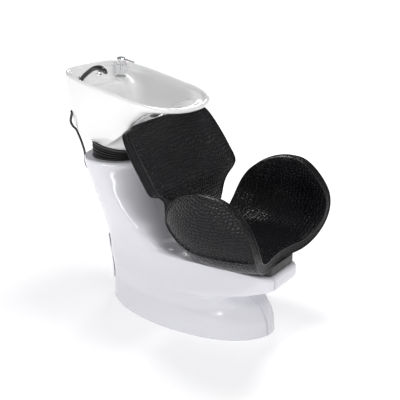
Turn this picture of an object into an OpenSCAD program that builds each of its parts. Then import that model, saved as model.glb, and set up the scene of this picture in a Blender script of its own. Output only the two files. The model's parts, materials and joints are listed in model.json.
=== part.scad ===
// Shampoo backwash unit: leaning one-piece base, tilting ceramic bowl, curled shell seat and backrest.
// Millimetres. +Z up, floor at z = 0, client faces -Y, +X is the client's left.
// Origin: middle of the footprint.

/* [Base] */
// Height of the base top that carries the bellows
base_h = 635; // [625:1:640]
// Wall of the fibreglass base
shell_th = 5; // [4:0.5:6]
// Radius of the round opening in the base top
neck_r = 114; // [113:1:116]
// Spacing of the floor bolts across the unit
floor_bolt_x = 160; // [140:5:170]
// Spacing of the floor bolts along the unit
floor_bolt_y = 450; // [420:5:470]
// Diameter of a floor bolt hole
floor_bolt_d = 14; // [11:1:16]

/* [Seat and backrest] */
// Height of the seat shell's middle layer above the floor
seat_z = 361; // [359:1:372]
// Thickness of the whole seat shell
seat_t = 42; // [41:1:44]
// Radius of the bend between the seat and each wing
wing_bend_r = 163; // [155:1:172]
// Angle that each wing turns up
wing_angle = 97; // [88:1:98]
// Thickness of the whole backrest
back_t = 54; // [50:1:58]

/* [Bowl] */
// Height of the bowl foot above the floor
foot_z = 697; // [696:1:700]
// Radius of the bowl foot
foot_r = 115; // [114:0.5:116]
// Forward slope of the bowl foot
foot_lean = 10.5; // [9:0.5:11]
// Wall of the ceramic
bowl_th = 11; // [9:0.5:12]
// Diameter of the tilt pin
tilt_pin_d = 16; // [12:1:18]
// Number of pleats in the bellows
pleats = 4; // [3:1:5]

/* [Fittings] */
// Radius of the mixer column
mixer_r = 23; // [21:0.5:25]
// Forward lean of the mixer
mixer_lean = 8; // [0:1:10]
// Reach of the mixer lever from its axis
lever_l = 78; // [60:1:85]
// Diameter of the hand-spray hose
spray_hose_d = 11; // [9:0.5:12]
// Diameter of the braided water hoses
water_hose_d = 10; // [8:0.5:11]
// Diameter of the waste pipe
waste_d = 40; // [38:1:40]

/* [Hidden] */
white_frp = [0.93, 0.93, 0.95];
white_glaze = [0.96, 0.96, 0.96];
black_vinyl = [0.07, 0.07, 0.08];
black_rubber = [0.05, 0.05, 0.05];
chrome = [0.80, 0.82, 0.84];
steel = [0.55, 0.57, 0.60];
zinc = [0.70, 0.71, 0.73];
brass = [0.78, 0.66, 0.36];
ply = [0.76, 0.62, 0.42];
plastic_grey = [0.45, 0.46, 0.48];
neck_y = 395;
drain_y = 345;
drain_r = 23.5;
pivot_z = 655;
deck_z = 948;

function mix(a, b, t) = a + (b - a) * t;
function clamp01(t) = min(1, max(0, t));
function ease(a, b, t) = let(u = clamp01((t - a) / (b - a))) u * u * (3 - 2 * u);
function unit(v) = v / norm(v);
function sgn(v) = v < 0 ? -1 : 1;
function bez(a, b, c, d, t) = pow(1 - t, 3) * a + 3 * t * pow(1 - t, 2) * b + 3 * t * t * (1 - t)
    * c + pow(t, 3) * d;
function cat(p, i, t) = let(n = len(p) - 1, a = p[max(0, i - 1)], b = p[i], c = p[min(n, i + 1)],
    d = p[min(n, i + 2)])
    0.5 * (2 * b + (c - a) * t + (2 * a - 5 * b + 4 * c - d) * t * t + (3 * b - a - 3 * c + d) * t * t * t);
function at(p, s) = let(i = min(len(p) - 2, floor(s))) cat(p, i, s - i);
function lin(p, s) = let(i = min(len(p) - 2, max(0, floor(s)))) mix(p[i], p[i + 1], s - i);

// Skin through equal rings of points. A looped skin joins its last ring to its first,
// otherwise both ends are capped.
module skin(rings, looped) {
    m = len(rings);
    n = len(rings[0]);
    pts = [for (r = rings) each r];
    walls = [for (i = [0:1:(looped ? m - 1 : m - 2)]) for (j = [0:1:n - 1])
        let(a = i * n + j, b = i * n + (j + 1) % n, c = ((i + 1) % m) * n + (j + 1) % n, d = ((i + 1) % m)
            * n + j)
        each [[a, d, c], [a, c, b]]];
    e = (m - 1) * n;
    caps = looped ? [] : [for (j = [0:1:n / 2 - 2]) let(b = j + 1, c = n - 2 - j, d = n - 1 - j)
        each [[j, b, c], [j, c, d], [e + j, e + c, e + b], [e + j, e + d, e + c]]];
    polyhedron(points = pts, faces = concat(walls, caps), convexity = 10);
}

// Round tube or bar along a smooth line through the route points. side is never parallel to the route.
module tube(route, r0, r1, sides, steps, side) {
    m = (len(route) - 1) * steps;
    line = [for (i = [0:1:m]) at(route, i / steps)];
    rings = [for (i = [0:1:m]) let(
            t = unit(line[min(m, i + 1)] - line[max(0, i - 1)]),
            u = unit(cross(side, t)),
            v = cross(t, u),
            r = mix(r0, r1, i / m))
        [for (k = [0:1:sides - 1]) line[i] + r * (cos(360 * k / sides) * u + sin(360 * k / sides) * v)]];
    skin(rings, false);
}

function foot_plane(y) = foot_z + (y - neck_y) * tan(foot_lean);

module at_foot() {
    translate([0, neck_y, foot_z]) rotate([foot_lean, 0, 0]) children();
}

module ring(ro, ri, h) {
    rotate_extrude($fn = 96) translate([ri, 0]) square([ro - ri, h]);
}

// ---------------------------------------------------------------- base shell
// Sections of the moulding from the floor to the neck: height, rear, front, half width, widest place,
// half width of the front face, shoulder shape, corner shape, sag of the section towards the sides.
sections = [
    [0, 416, -392, 212, 10, 20, 0.5, 6, 0],
    [45, 412, -389, 213, 10, 20, 0.5, 6, 0],
    [90, 411, -374, 208, 18, 24, 0.5, 6, 4],
    [130, 413, -348, 201, 30, 30, 0.5, 6, 12],
    [165, 417, -314, 199, 45, 60, 0.5, 6, 28],
    [195, 421, -286, 197.5, 60, 87, 0.5, 6, 48],
    [212, 424, -300, 196, 70, 84, 0.5, 6, 58],
    [225, 427, -345, 194.5, 78, 92, 0.7, 7, 62],
    [233, 429, -402, 192.5, 85, 104, 1, 9, 58],
    [238, 430, -436, 190, 90, 110, 1, 10, 46],
    [246, 432, -449, 186, 95, 113, 1, 11, 30],
    [262, 436, -452, 181, 100, 114, 1, 11, 12],
    [283, 441, -451, 178.3, 106, 114, 1, 11, 3],
    [294, 444, -445, 176.8, 110, 113, 1, 11, 0],
    [299, 445.4, -431, 176, 112, 112, 1, 10, 0],
    [300, 445.8, -330, 175.8, 114, 118, 1, 9, 0],
    [301, 446.2, -190, 175, 117, 134, 1, 7, 0],
    [303, 447, -70, 174, 122, 142, 1, 6, 0],
    [311, 450, -2, 172.3, 132, 143, 1, 5.5, 0],
    [332, 458, 42, 168, 158, 138, 1, 5, 0],
    [370, 470, 88, 162.5, 200, 130, 1, 4.5, 0],
    [420, 488, 138, 160, 252, 118, 1, 4, 0],
    [475, 506, 186, 158, 303, 98, 0.9, 3.6, 0],
    [530, 524, 221, 157, 345, 70, 0.7, 3.2, 0],
    [580, 540, 238, 157, 376, 35, 0.5, 3.2, 0],
    [612, 550, 243, 157, 392, 8, 0.5, 4, 0],
    [627, 553, 245, 156, 395, 0, 0.5, 12, 0],
    [634, 548, 250, 151, 396, 0, 0.5, 12, 0],
    [635, 536, 262, 140, 396, 0, 0.5, 12, 0],
    [635, neck_y + neck_r, neck_y - neck_r, neck_r, neck_y, 0, 0.5, 12, 0]];
base_n = 48;
function base_height(z) = z < 300 ? z : 300 + (z - 300) * (base_h - 300) / 335;
function front_half(q, s) = (q[5] + (q[3] - q[5]) * pow(max(0, 1 - s * s), q[6]))
    * pow(max(0, 1 - pow(s, q[7])), 1 / q[7]);
function base_pt(q, a) = let(
        s = pow(abs(sin(a)), 1 - 0.4 * clamp01(q[5] / 90)),
        back = a <= 180,
        x = back ? q[3] * cos(a) : sgn(cos(a)) * (abs(cos(a)) < 1e-6 ? 0 : front_half(q, s)),
        y = back ? q[4] + (q[1] - q[4]) * sin(a) : q[4] - (q[4] - q[2]) * s,
        z = base_height(q[0]) - q[8] * (back ? 1 - pow(sin(a), 2) : 1 - pow(s, 4)))
    [x, y, max(0, z)];
function base_grid(steps) = [for (i = [0:1:(len(sections) - 1) * steps]) let(q = at(sections, i / steps))
    [for (j = [0:1:base_n - 1]) base_pt(q, 360 * j / base_n)]];
function inset_grid(g, d) = let(m = len(g) - 1, n = len(g[0])) [for (i = [0:1:m]) [for (j = [0:1:n - 1])
    let(
        along = g[i][(j + 1) % n] - g[i][(j + n - 1) % n],
        up = g[min(m, i + 1)][j] - g[max(0, i - 1)][j],
        p = g[i][j] - d * unit(cross(along, up)))
    [p.x, p.y, i == 0 ? 0 : max(0, p.z)]]];
function flip(g) = [for (i = [len(g) - 1:-1:0]) g[i]];
panel_pts = [[-1, 86], [1, 86], [1, 262], [-1, 262]];
seat_bolt_pts = [[-55, -385], [55, -385], [-55, -285], [55, -285]];
hose_entry = [-50, 543];

module base_shell() {
    color(white_frp) difference() {
        skin(concat(base_grid(1), flip(inset_grid(base_grid(1), shell_th))), true);
        // service opening at the back, closed by the panel
        translate([-70, 330, 100]) cube([140, 200, 150]);
        for (p = panel_pts) at_screw(p) translate([0, 0, -30]) cylinder(h = 40, r = 2.4, $fn = 24);
        for (p = seat_bolt_pts) translate([p.x, p.y, 270]) cylinder(h = 50, r = 4.5, $fn = 24);
        translate([hose_entry[0], 490, hose_entry[1]]) rotate([-90, 0, 0]) cylinder(h = 60, r = 9,
            $fn = 32);
    }
}

function lookup_section(z) = let(i = [for (k = [0:1:len(sections) - 2])
    if (sections[k][0] <= z && z < sections[k + 1][0]) k][0])
    mix(sections[i], sections[i + 1], (z - sections[i][0]) / (sections[i + 1][0] - sections[i][0]));
function rear_pt(x, z, d) = let(q = lookup_section(z), c = x / (q[3] + d))
    [x, q[4] + (q[1] + d - q[4]) * sqrt(1 - c * c), z];

// Frame of a panel screw: on the panel's outer face with z pointing straight out of it.
module at_screw(p) {
    turn = rear_pt(p[0] * 80 + 1, p[1], 5) - rear_pt(p[0] * 80 - 1, p[1], 5);
    rise = rear_pt(p[0] * 80, p[1] + 1, 5) - rear_pt(p[0] * 80, p[1] - 1, 5);
    translate(rear_pt(p[0] * 80, p[1], 5)) rotate([0, 0, atan2(turn.y, turn.x)])
        rotate([-90 - atan2(rise.y, rise.z), 0, 0]) children();
}

module service_panel() {
    xs = [for (i = [-8:1:8]) i * 92 / 8];
    rings = [for (z = [72, 100, 130, 160, 190, 220, 250, 276])
        concat([for (x = xs) rear_pt(x, z, 5)], [for (i = [len(xs) - 1:-1:0]) rear_pt(xs[i], z, 2)])];
    color(white_frp) difference() {
        skin(rings, false);
        for (p = panel_pts) at_screw(p) translate([0, 0, -30]) cylinder(h = 40, r = 2.4, $fn = 24);
    }
}

module panel_screws() {
    color(zinc) for (p = panel_pts) at_screw(p) {
        translate([0, 0, -15]) cylinder(h = 16, r = 2, $fn = 24);
        translate([0, 0, 0.7]) cylinder(h = 2.1, r1 = 4.2, r2 = 3, $fn = 24);
    }
}

// ---------------------------------------------------------------- frame
module steel_frame() {
    color(steel) difference() {
        union() {
            translate([-100, -230, 0]) cube([200, 575, 8]);
            for (s = [-1, 1]) {
                translate([s * 65 - 15, 300, 7]) cube([30, 40, base_h - 45]);
                translate([s * 65 - 15, 300, base_h - 45]) cube([30, 185, 22]);
                translate([s * 50 - 15, -400, 263.5]) cube([30, 741, 24]);
            }
            translate([-20, -240, 7]) cube([40, 40, 250]);
            translate([-65, -240, 255]) cube([130, 40, 9]);
            translate([-85, -400, 287]) cube([170, 280, 6.5]);
            translate([-85, 300, base_h - 23.5]) cube([170, 190, 8]);
        }
        for (sx = [-1, 1]) for (sy = [-1, 1]) translate([sx * floor_bolt_x / 2, 25 + sy * floor_bolt_y / 2,
            -1])
            cylinder(h = 10, r = floor_bolt_d / 2, $fn = 48);
        for (p = seat_bolt_pts) translate([p.x, p.y, 250]) cylinder(h = 60, r = 4.5, $fn = 24);
        translate([0, drain_y, base_h - 50]) cylinder(h = 60, r = 27, $fn = 64);
        translate([-46, 440, base_h - 30]) cube([92, 43, 20]);
        for (sx = [-1, 1]) for (y = [380, 430]) translate([sx * 30, y, base_h - 30]) cylinder(h = 30,
            r = 4.3, $fn = 24);
    }
}

module tilt_bracket() {
    z0 = base_h - 15;
    color(steel) difference() {
        union() {
            translate([-62, 368, z0]) cube([124, 74, 6]);
            for (s = [-1, 1]) translate([s * 53 - 3, 0, 0]) rotate([90, 0, 90]) linear_extrude(6)
                polygon(concat([[neck_y - 26, z0 + 1], [neck_y + 26, z0 + 1]],
                    [for (a = [0:12:180]) [neck_y + 20 * cos(a), pivot_z + 20 * sin(a)]]));
        }
        translate([-80, neck_y, pivot_z]) rotate([0, 90, 0]) cylinder(h = 160, r = tilt_pin_d / 2 + 0.05,
            $fn = 64);
        for (sx = [-1, 1]) for (y = [380, 430]) translate([sx * 30, y, z0 - 1]) cylinder(h = 10, r = 4.3,
            $fn = 24);
    }
}

module bracket_bolts() {
    color(zinc) for (sx = [-1, 1]) for (y = [380, 430]) translate([sx * 30, y, 0]) {
        translate([0, 0, base_h - 9]) cylinder(h = 6, r = 7, $fn = 6);
        translate([0, 0, base_h - 32]) cylinder(h = 24, r = 4, $fn = 24);
        translate([0, 0, base_h - 31]) cylinder(h = 7, r = 7, $fn = 6);
    }
}

module tilt_yoke() {
    color(steel) difference() {
        union() {
            at_foot() translate([0, 0, -10]) cylinder(h = 8, r = 111, $fn = 96);
            for (s = [-1, 1]) translate([s * 61 - 3, 0, 0]) rotate([90, 0, 90]) linear_extrude(6)
                polygon(concat([[neck_y + 26, foot_plane(neck_y + 26) - 9],
                    [neck_y - 26, foot_plane(neck_y - 26) - 9]],
                    [for (a = [180:12:360]) [neck_y + 20 * cos(a), pivot_z + 20 * sin(a)]]));
        }
        translate([-80, neck_y, pivot_z]) rotate([0, 90, 0]) cylinder(h = 160, r = tilt_pin_d / 2 + 0.05,
            $fn = 64);
        translate([0, drain_y, foot_z - 40]) cylinder(h = 60, r = 24.5, $fn = 64);
        translate([-16, 446, foot_z - 20]) cube([76, 40, 50]);
    }
}

module tilt_pin() {
    color(zinc) translate([-64.3, neck_y, pivot_z]) rotate([0, 90, 0]) {
        cylinder(h = 142, r = tilt_pin_d / 2 - 0.02, $fn = 64);
        translate([0, 0, -8]) cylinder(h = 8, r = tilt_pin_d * 0.85, $fn = 6);
    }
}

module tilt_nut() {
    color(zinc) translate([64.2, neck_y, pivot_z]) rotate([0, 90, 0]) difference() {
        cylinder(h = 11, r = tilt_pin_d * 0.85, $fn = 6);
        translate([0, 0, -1]) cylinder(h = 13, r = tilt_pin_d / 2 + 0.02, $fn = 64);
    }
}

module friction_washers() {
    color(brass) for (x = [-57.8, 56.2]) translate([x, neck_y, pivot_z]) rotate([0, 90, 0])
        ring(18, tilt_pin_d / 2 + 0.15, 1.6);
}

// ---------------------------------------------------------------- bellows
// Wedge-shaped bellows between the level base top and the sloping foot.
// Each row: radius, share of the height, extra height.
bellows_n = 28;
module bellows() {
    z0 = base_h + 1;
    outer = concat([[106, 0, 0], [121.5, 0, 0], [121.5, 0, 2], [109, 0, 3]],
        [for (i = [0:1:pleats - 1]) each [[120, (i + 0.55) / pleats, 0], [109, (i + 1) / pleats, 0]]],
        [[120, 1, 2], [120, 1, 10.5], [116, 1, 10.8]]);
    inner = concat([[113.3, 1, 10], [113.3, 1, 0]],
        [for (i = [pleats - 1:-1:0]) each [[106, (i + 1) / pleats, i == pleats - 1 ? -1 : 0],
            [117, (i + 0.55) / pleats, 0]]],
        [[106, 0, 3]]);
    color(black_rubber) skin([for (q = concat(outer, inner)) [for (j = [0:1:bellows_n - 1]) let(
            a = 360 * j / bellows_n, y = neck_y + q[0] * sin(a))
        [q[0] * cos(a), y, mix(z0, foot_plane(y) - 12, q[1]) + q[2]]]], true);
}

module bellows_ring() {
    color(zinc) translate([0, neck_y, base_h - 5.2 - shell_th]) difference() {
        ring(126, 108, 3);
        for (a = [45:90:315]) rotate(a) translate([121, 0, -1]) cylinder(h = 6, r = 2.2, $fn = 24);
    }
}

module bellows_screws() {
    color(zinc) translate([0, neck_y, 0]) for (a = [45:90:315]) rotate(a)
        translate([121, 0, base_h - 5 - shell_th - 2.6])
        cylinder(h = 2.2, r = 4, $fn = 24);
}

// ---------------------------------------------------------------- bowl
bowl_n = 48;
rim_mid = 147;
rim_back = 564;
rim_front = -24;
rim_half = 209;
rim_z0 = 898;
rim_z1 = 1013;
function rim_xy(a) = let(s = sin(a), c = cos(a), back = s > 0,
        e = back ? mix(0.91, 0.48, ease(0, 0.3, s)) : 0.91,
        y = back ? rim_mid + (rim_back - rim_mid) * pow(s, e) : rim_mid - (rim_mid - rim_front) * pow(-s,
            e),
        w = rim_half * (1 + 0.10 * clamp01((y - rim_mid) / (rim_back - rim_mid))))
    [w * sgn(c) * pow(abs(c) < 1e-9 ? 0 : abs(c), e), y];
function rim_z(y) = rim_z0 + (rim_z1 - rim_z0) * pow(clamp01((y - rim_front) / (rim_back - rim_front)),
    0.9);
function rim_pt(a) = let(p = rim_xy(a)) [p.x, p.y, rim_z(p.y)];
function rim_in(a) = let(t = unit(rim_xy(a + 2) - rim_xy(a - 2))) [-t.y, t.x, 0];
function foot_pt(a, r) = [r * cos(a), neck_y + r * sin(a), foot_plane(neck_y + r * sin(a))];
function drain_pt(a) = [drain_r * cos(a), drain_y + drain_r * sin(a), 738];
// weights of the back and front shapes around the bowl; the rest is the side shape
function w_back(a) = ease(0, 0.5, sin(a));
function w_front(a) = ease(0, 0.9, -sin(a));
function w_deck(a) = ease(0.45, 0.8, sin(a));
function blend3(side, front, back, a, wb) = mix(mix(side, front, w_front(a)), back, wb);
out_ctrl_back = [[0, 0], [0.55, 0.02], [1.10, 0.30], [1, 0.93]];
out_ctrl_side = [[0, 0], [0.36, 0.16], [0.86, 0.42], [0.99, 0.89]];
out_ctrl_front = [[0, 0], [0.20, 0.62], [0.42, 0.94], [0.985, 0.92]];
function out_fz(a, t) = let(k = [for (i = [0:1:3]) blend3(out_ctrl_side[i], out_ctrl_front[i],
    out_ctrl_back[i], a, w_back(a))])
    bez(k[0], k[1], k[2], k[3], t);
function out_pt(a, t) = let(q = out_fz(a, t), p = rim_pt(a), b = foot_pt(a, foot_r))
    [mix(b.x, p.x, q[0]), mix(b.y, p.y, q[0]), mix(b.z, p.z, q[1])];
in_back = [[0.896, 0.949], [0.864, 0.862], [0.826, 0.796], [0.760, 0.764], [0.635, 0.753], [0.471, 0.745],
    [0.373, 0.724], [0.313, 0.655], [0.286, 0.516], [0.270, 0.371], [0.237, 0.225], [0.183, 0.098],
    [0.128, 0.022], [0.052, 0]];
in_side = [[0.90, 0.93], [0.88, 0.87], [0.86, 0.80], [0.835, 0.71], [0.80, 0.62], [0.76, 0.53],
    [0.71, 0.44], [0.65, 0.35], [0.57, 0.26], [0.48, 0.18], [0.38, 0.11], [0.27, 0.06], [0.16, 0.02],
    [0.052, 0]];
in_front = [[0.919, 0.912], [0.844, 0.90], [0.757, 0.881], [0.67, 0.844], [0.583, 0.78], [0.496, 0.69],
    [0.424, 0.575], [0.352, 0.44], [0.294, 0.325], [0.236, 0.22], [0.178, 0.13], [0.12, 0.062],
    [0.077, 0.02], [0.04, 0]];
function in_pt(a, k) = let(
        q = blend3(lin(in_side, 13 * k), lin(in_front, 13 * k), lin(in_back, 13 * k), a, w_deck(a)),
        p = rim_pt(a), b = drain_pt(a))
    [mix(b.x, p.x, q[0]), mix(b.y, p.y, q[0]), mix(b.z, p.z, q[1])];
function lip_w(a) = mix(18, 26, w_front(a));
lip = [[0, -11], [0.08, -4], [0.36, 0], [0.66, -1], [0.88, -6], [1, -13]];
function out_normal(a, t) = unit(cross(out_pt(a + 3, t) - out_pt(a - 3, t), out_pt(a, min(1, t + 0.04))
    - out_pt(a, max(0, t - 0.04))));
function in_normal(a, k) = unit(cross(in_pt(a, min(1, k + 0.05)) - in_pt(a, max(0, k - 0.05)),
    in_pt(a + 3, k) - in_pt(a - 3, k)));
// how far the hollow behind the basin reaches up the skirt and along the basin
function void_t(a) = blend3(0.42, 0.07, 0.86, a, w_back(a));
function void_k(a) = blend3(0.60, 0.86, 0.20, a, w_deck(a));
angles = [for (j = [0:1:bowl_n - 1]) 360 * j / bowl_n];
function flat_foot(p) = [p.x, p.y, max(foot_plane(p.y), p.z)];

module bowl_solid() {
    rings = concat(
        [for (i = [0:1:11]) [for (a = angles) out_pt(a, i / 11)]],
        [for (q = lip) [for (a = angles) rim_pt(a) + lip_w(a) * q[0] * rim_in(a) + [0, 0, q[1]]]],
        [for (i = [0:1:13]) [for (a = angles) in_pt(a, i / 13)]],
        [[for (a = angles) drain_pt(a)], [for (a = angles) drain_pt(a) - [0, 0, 12]]],
        [for (i = [0:1:8]) [for (a = angles) let(k = mix(0.97, void_k(a), i / 8)) in_pt(a, k)
            + bowl_th * in_normal(a, k)]],
        [for (i = [0:1:6]) [for (a = angles) let(t = void_t(a) * (1 - i / 6)) flat_foot(out_pt(a, t)
            - (bowl_th - 1) * out_normal(a, t))]]);
    skin(rings, true);
}

mixer_xy = [125, 488];
holder_xy = [-142, 488];
// where the hand-spray hose leaves the skirt, and the slant of that hole
hose_exit = [-190, 480, 845];

module at_exit() {
    translate(hose_exit) rotate([0, 149, 168]) children();
}

module at_holder() {
    translate([holder_xy.x, holder_xy.y, deck_z + 1]) children();
}

// Level lands in the deck, above and below, for the mixer and the spray holder.
land_th = 21;

module bowl() {
    color(white_glaze) difference() {
        union() {
            bowl_solid();
            at_mixer() translate([0, 0, -land_th]) cylinder(h = land_th, r = 29, $fn = 72);
            at_holder() translate([0, 0, -land_th]) cylinder(h = land_th, r = 23, $fn = 72);
        }
        at_mixer() cylinder(h = 60, r = 29, $fn = 72);
        at_mixer() translate([0, 0, -land_th - 40]) cylinder(h = 40, r = 27, $fn = 72);
        at_mixer() translate([0, 0, -50]) cylinder(h = 90, r = 17, $fn = 48);
        at_holder() cylinder(h = 80, r = 23, $fn = 72);
        at_holder() translate([0, 0, -land_th - 30]) cylinder(h = 30, r = 22, $fn = 72);
        at_holder() translate([0, 0, -50]) cylinder(h = 90, r = 15, $fn = 48);
        at_exit() translate([0, 0, -34]) cylinder(h = 68, r = 9, $fn = 32);
    }
}

module bowl_gasket() {
    color(black_rubber) at_foot() translate([0, 0, -1.8]) ring(111, 100, 1.6);
}

// ---------------------------------------------------------------- waste
module waste_flange() {
    color(chrome) translate([0, drain_y, 0]) rotate_extrude($fn = 72)
        polygon([[17.5, 654], [21.5, 654], [21.5, 740.5], [34, 740.5], [36, 742], [35, 743.5], [24, 743],
            [17.5, 741]]);
}

module waste_nut() {
    color(chrome) translate([0, drain_y, foot_z - 37]) difference() {
        cylinder(h = 11, r = 33, $fn = 8);
        translate([0, 0, -1]) cylinder(h = 13, r = 21.6, $fn = 72);
    }
}

module hair_strainer() {
    color(chrome) translate([0, drain_y, 744]) difference() {
        union() {
            cylinder(h = 2, r = 27, $fn = 72);
            translate([0, 0, -14]) cylinder(h = 15, r = 15, $fn = 48);
            translate([0, 0, 1]) cylinder(h = 9, r = 4.5, $fn = 32);
            translate([0, 0, 10]) sphere(r = 6, $fn = 32);
        }
        translate([0, 0, -15]) cylinder(h = 15, r = 13.5, $fn = 48);
        for (a = [0:30:330]) rotate(a) translate([10, 0, -2]) cylinder(h = 6, r = 1.8, $fn = 16);
        for (a = [0:20:340]) rotate(a) translate([21, 0, -2]) cylinder(h = 6, r = 2, $fn = 16);
    }
}

waste_route = [[0, 345, 653], [0, 345, 615], [0, 342, 540], [0, 330, 440], [0, 308, 330], [0, 286, 270],
    [0, 269, 215], [0, 264, 165], [0, 264, 140], [0, 272, 122], [0, 290, 114], [0, 308, 122], [0, 316, 140],
    [0, 316, 180], [0, 324, 198], [0, 342, 206], [0, 360, 198], [0, 368, 180], [0, 368, 100]];

module waste_hose() {
    color(plastic_grey) tube(waste_route, 17, 17, 12, 3, [1, 0, 0]);
}

module waste_outlet() {
    color(plastic_grey) translate([0, 368, 0]) rotate_extrude($fn = 72)
        polygon([[waste_d / 2 - 2.4, 0], [waste_d / 2, 0], [waste_d / 2, 82], [waste_d / 2 + 3, 84],
            [waste_d / 2 + 3, 98], [waste_d / 2 - 2.4, 98]]);
}

// ---------------------------------------------------------------- mixer
module at_mixer() {
    translate([mixer_xy.x, mixer_xy.y, deck_z + 2]) rotate([mixer_lean, 0, 0]) children();
}

module mixer_gasket() {
    color(black_rubber) at_mixer() ring(mixer_r + 2, 17, 1.6);
}

module mixer_body() {
    color(chrome) at_mixer() rotate_extrude($fn = 96) polygon(concat(
        [[0, -34], [15.5, -34], [15.5, 1.8], [mixer_r + 4.5, 1.8], [mixer_r + 4.5, 4], [mixer_r + 3, 6.5],
            [mixer_r + 0.5, 7.5], [mixer_r, 9]],
        [[mixer_r, 51.6], [mixer_r - 1, 52.6], [17, 52.6], [17, 22], [0, 22]]));
}

module mixer_cartridge() {
    color(plastic_grey) at_mixer() translate([0, 0, 22.3]) difference() {
        cylinder(h = 30, r = 16.8, $fn = 72);
        translate([0, 0, 20]) cylinder(h = 11, r1 = 7, r2 = 11, $fn = 48);
    }
}

module mixer_nut() {
    color(brass) at_mixer() translate([0, 0, -land_th - 8.5]) difference() {
        cylinder(h = 8, r = 25, $fn = 6);
        translate([0, 0, -1]) cylinder(h = 10, r = 15.6, $fn = 72);
    }
}

module mixer_stem() {
    color(zinc) at_mixer() {
        translate([0, 0, 50]) sphere(r = 5, $fn = 32);
        translate([0, 0, 50]) cylinder(h = 16, r = 3.5, $fn = 32);
    }
}

module mixer_lever() {
    color(chrome) at_mixer() difference() {
        union() {
            rotate_extrude($fn = 96) polygon([[0, 53.5], [mixer_r, 53.5], [mixer_r, 74],
                [mixer_r - 1.5, 78], [mixer_r - 6, 81], [mixer_r - 13, 83], [0, 83.6]]);
            translate([0, 0, 73]) linear_extrude(6) polygon([[-9, 0], [-9, -mixer_r], [-7, -lever_l + 5],
                [-4, -lever_l], [4, -lever_l], [7, -lever_l + 5], [9, -mixer_r], [9, 0]]);
        }
        translate([0, 0, 50]) cylinder(h = 16.2, r1 = 20.4, r2 = 18, $fn = 72);
        translate([0, 0, 60]) cylinder(h = 10, r = 4, $fn = 32);
        // clearance behind, so the cap can rock back when the lever is raised
        translate([-40, 0, 50]) rotate([0, 90, 0]) linear_extrude(80)
            polygon([[0, -1], [-3.8, -1], [-17, 40], [0, 40]]);
        translate([0, -mixer_r - 1, 64]) rotate([-90, 0, 0]) cylinder(h = 3.2, r = 3.3, $fn = 32);
    }
}

module mixer_indicator() {
    color([0.75, 0.05, 0.06]) at_mixer() translate([0, -mixer_r - 0.6, 64]) rotate([-90, 0, 0])
        cylinder(h = 2.6, r = 3, $fn = 32);
}

hot_route = [[118, 491, 912], [116, 491, 880], [97, 489, 820], [62, 483, 760], [34, 472, 712],
    [26, 468, 680], [26, 466, 640], [28, 458, 600], [42, 434, 530], [58, 404, 410], [61, 378, 270],
    [60, 362, 140], [60, 360, 73]];
cold_route = [[133, 491, 912], [132, 491, 880], [118, 488, 820], [88, 479, 760], [56, 468, 712],
    [44, 460, 680], [42, 460, 640], [36, 442, 600], [6, 416, 530], [-36, 390, 410], [-56, 374, 270],
    [-60, 362, 140], [-60, 360, 73]];
mix_route = [[126, 478, 912], [124, 477, 880], [102, 470, 812], [56, 464, 756], [12, 460, 714],
    [-6, 460, 680], [-10, 462, 640], [-24, 458, 600], [-56, 432, 520], [-80, 400, 450], [-92, 378, 395],
    [-93, 375, 345], [-93, 363, 317], [-92, 335, 305], [-92, 307, 317], [-92, 295, 345], [-92, 295, 398]];

module hot_hose() {
    color(zinc) tube(hot_route, water_hose_d / 2, water_hose_d / 2, 8, 3, [0, 1, 0]);
}

module cold_hose() {
    color(zinc) tube(cold_route, water_hose_d / 2, water_hose_d / 2, 8, 3, [0, 1, 0]);
}

module mix_hose() {
    color(zinc) tube(mix_route, water_hose_d / 2, water_hose_d / 2, 8, 3, [0.3, 1, 0]);
}

module inlet_fittings() {
    color(brass) for (s = [-1, 1]) translate([s * 60, 360, 0]) difference() {
        union() {
            cylinder(h = 72, r = 10.5, $fn = 48);
            translate([0, 0, 30]) cylinder(h = 14, r = 14, $fn = 6);
        }
        translate([0, 0, -1]) cylinder(h = 60, r = 7, $fn = 48);
    }
}

module mix_coupling() {
    color(brass) translate([-92, 295, 400]) {
        cylinder(h = 40, r = 8, $fn = 48);
        translate([0, 0, 13]) cylinder(h = 14, r = 11, $fn = 6);
    }
}

// ---------------------------------------------------------------- hand spray
spray_up = 40;
spray_foot = [holder_xy.x, holder_xy.y - 3, 960];
module at_spray() {
    translate(spray_foot) rotate([90 - spray_up, 0, 0]) children();
}

module spray_holder() {
    color(chrome) difference() {
        union() {
            translate([holder_xy.x, holder_xy.y, deck_z + 1]) cylinder(h = 4, r = 19.5, $fn = 72);
            translate([holder_xy.x, holder_xy.y, deck_z - 32]) cylinder(h = 34, r = 13, $fn = 48);
            intersection() {
                at_spray() translate([0, 0, -14]) cylinder(h = 28, r = 15.5, $fn = 72);
                translate([holder_xy.x - 30, holder_xy.y - 40, deck_z + 2]) cube([60, 70, 60]);
            }
        }
        at_spray() translate([0, 0, -6]) cylinder(h = 40, r = 12.6, $fn = 72);
        translate([holder_xy.x, holder_xy.y + 3, deck_z - 40]) cylinder(h = 58, r = 8, $fn = 48);
    }
}

module spray_holder_nut() {
    color(brass) at_holder() translate([0, 0, -land_th - 8.5]) difference() {
        cylinder(h = 8, r = 20, $fn = 6);
        translate([0, 0, -1]) cylinder(h = 10, r = 13.1, $fn = 48);
    }
}

module spray_collar() {
    color(chrome) at_spray() difference() {
        rotate_extrude($fn = 72)
            polygon([[0, 0], [11, 0], [12.3, 3], [12.3, 18], [13.5, 20], [13.5, 24], [10.5, 26], [0, 26]]);
        translate([0, 0, 22]) cylinder(h = 6, r = 8, $fn = 48);
    }
}

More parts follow.
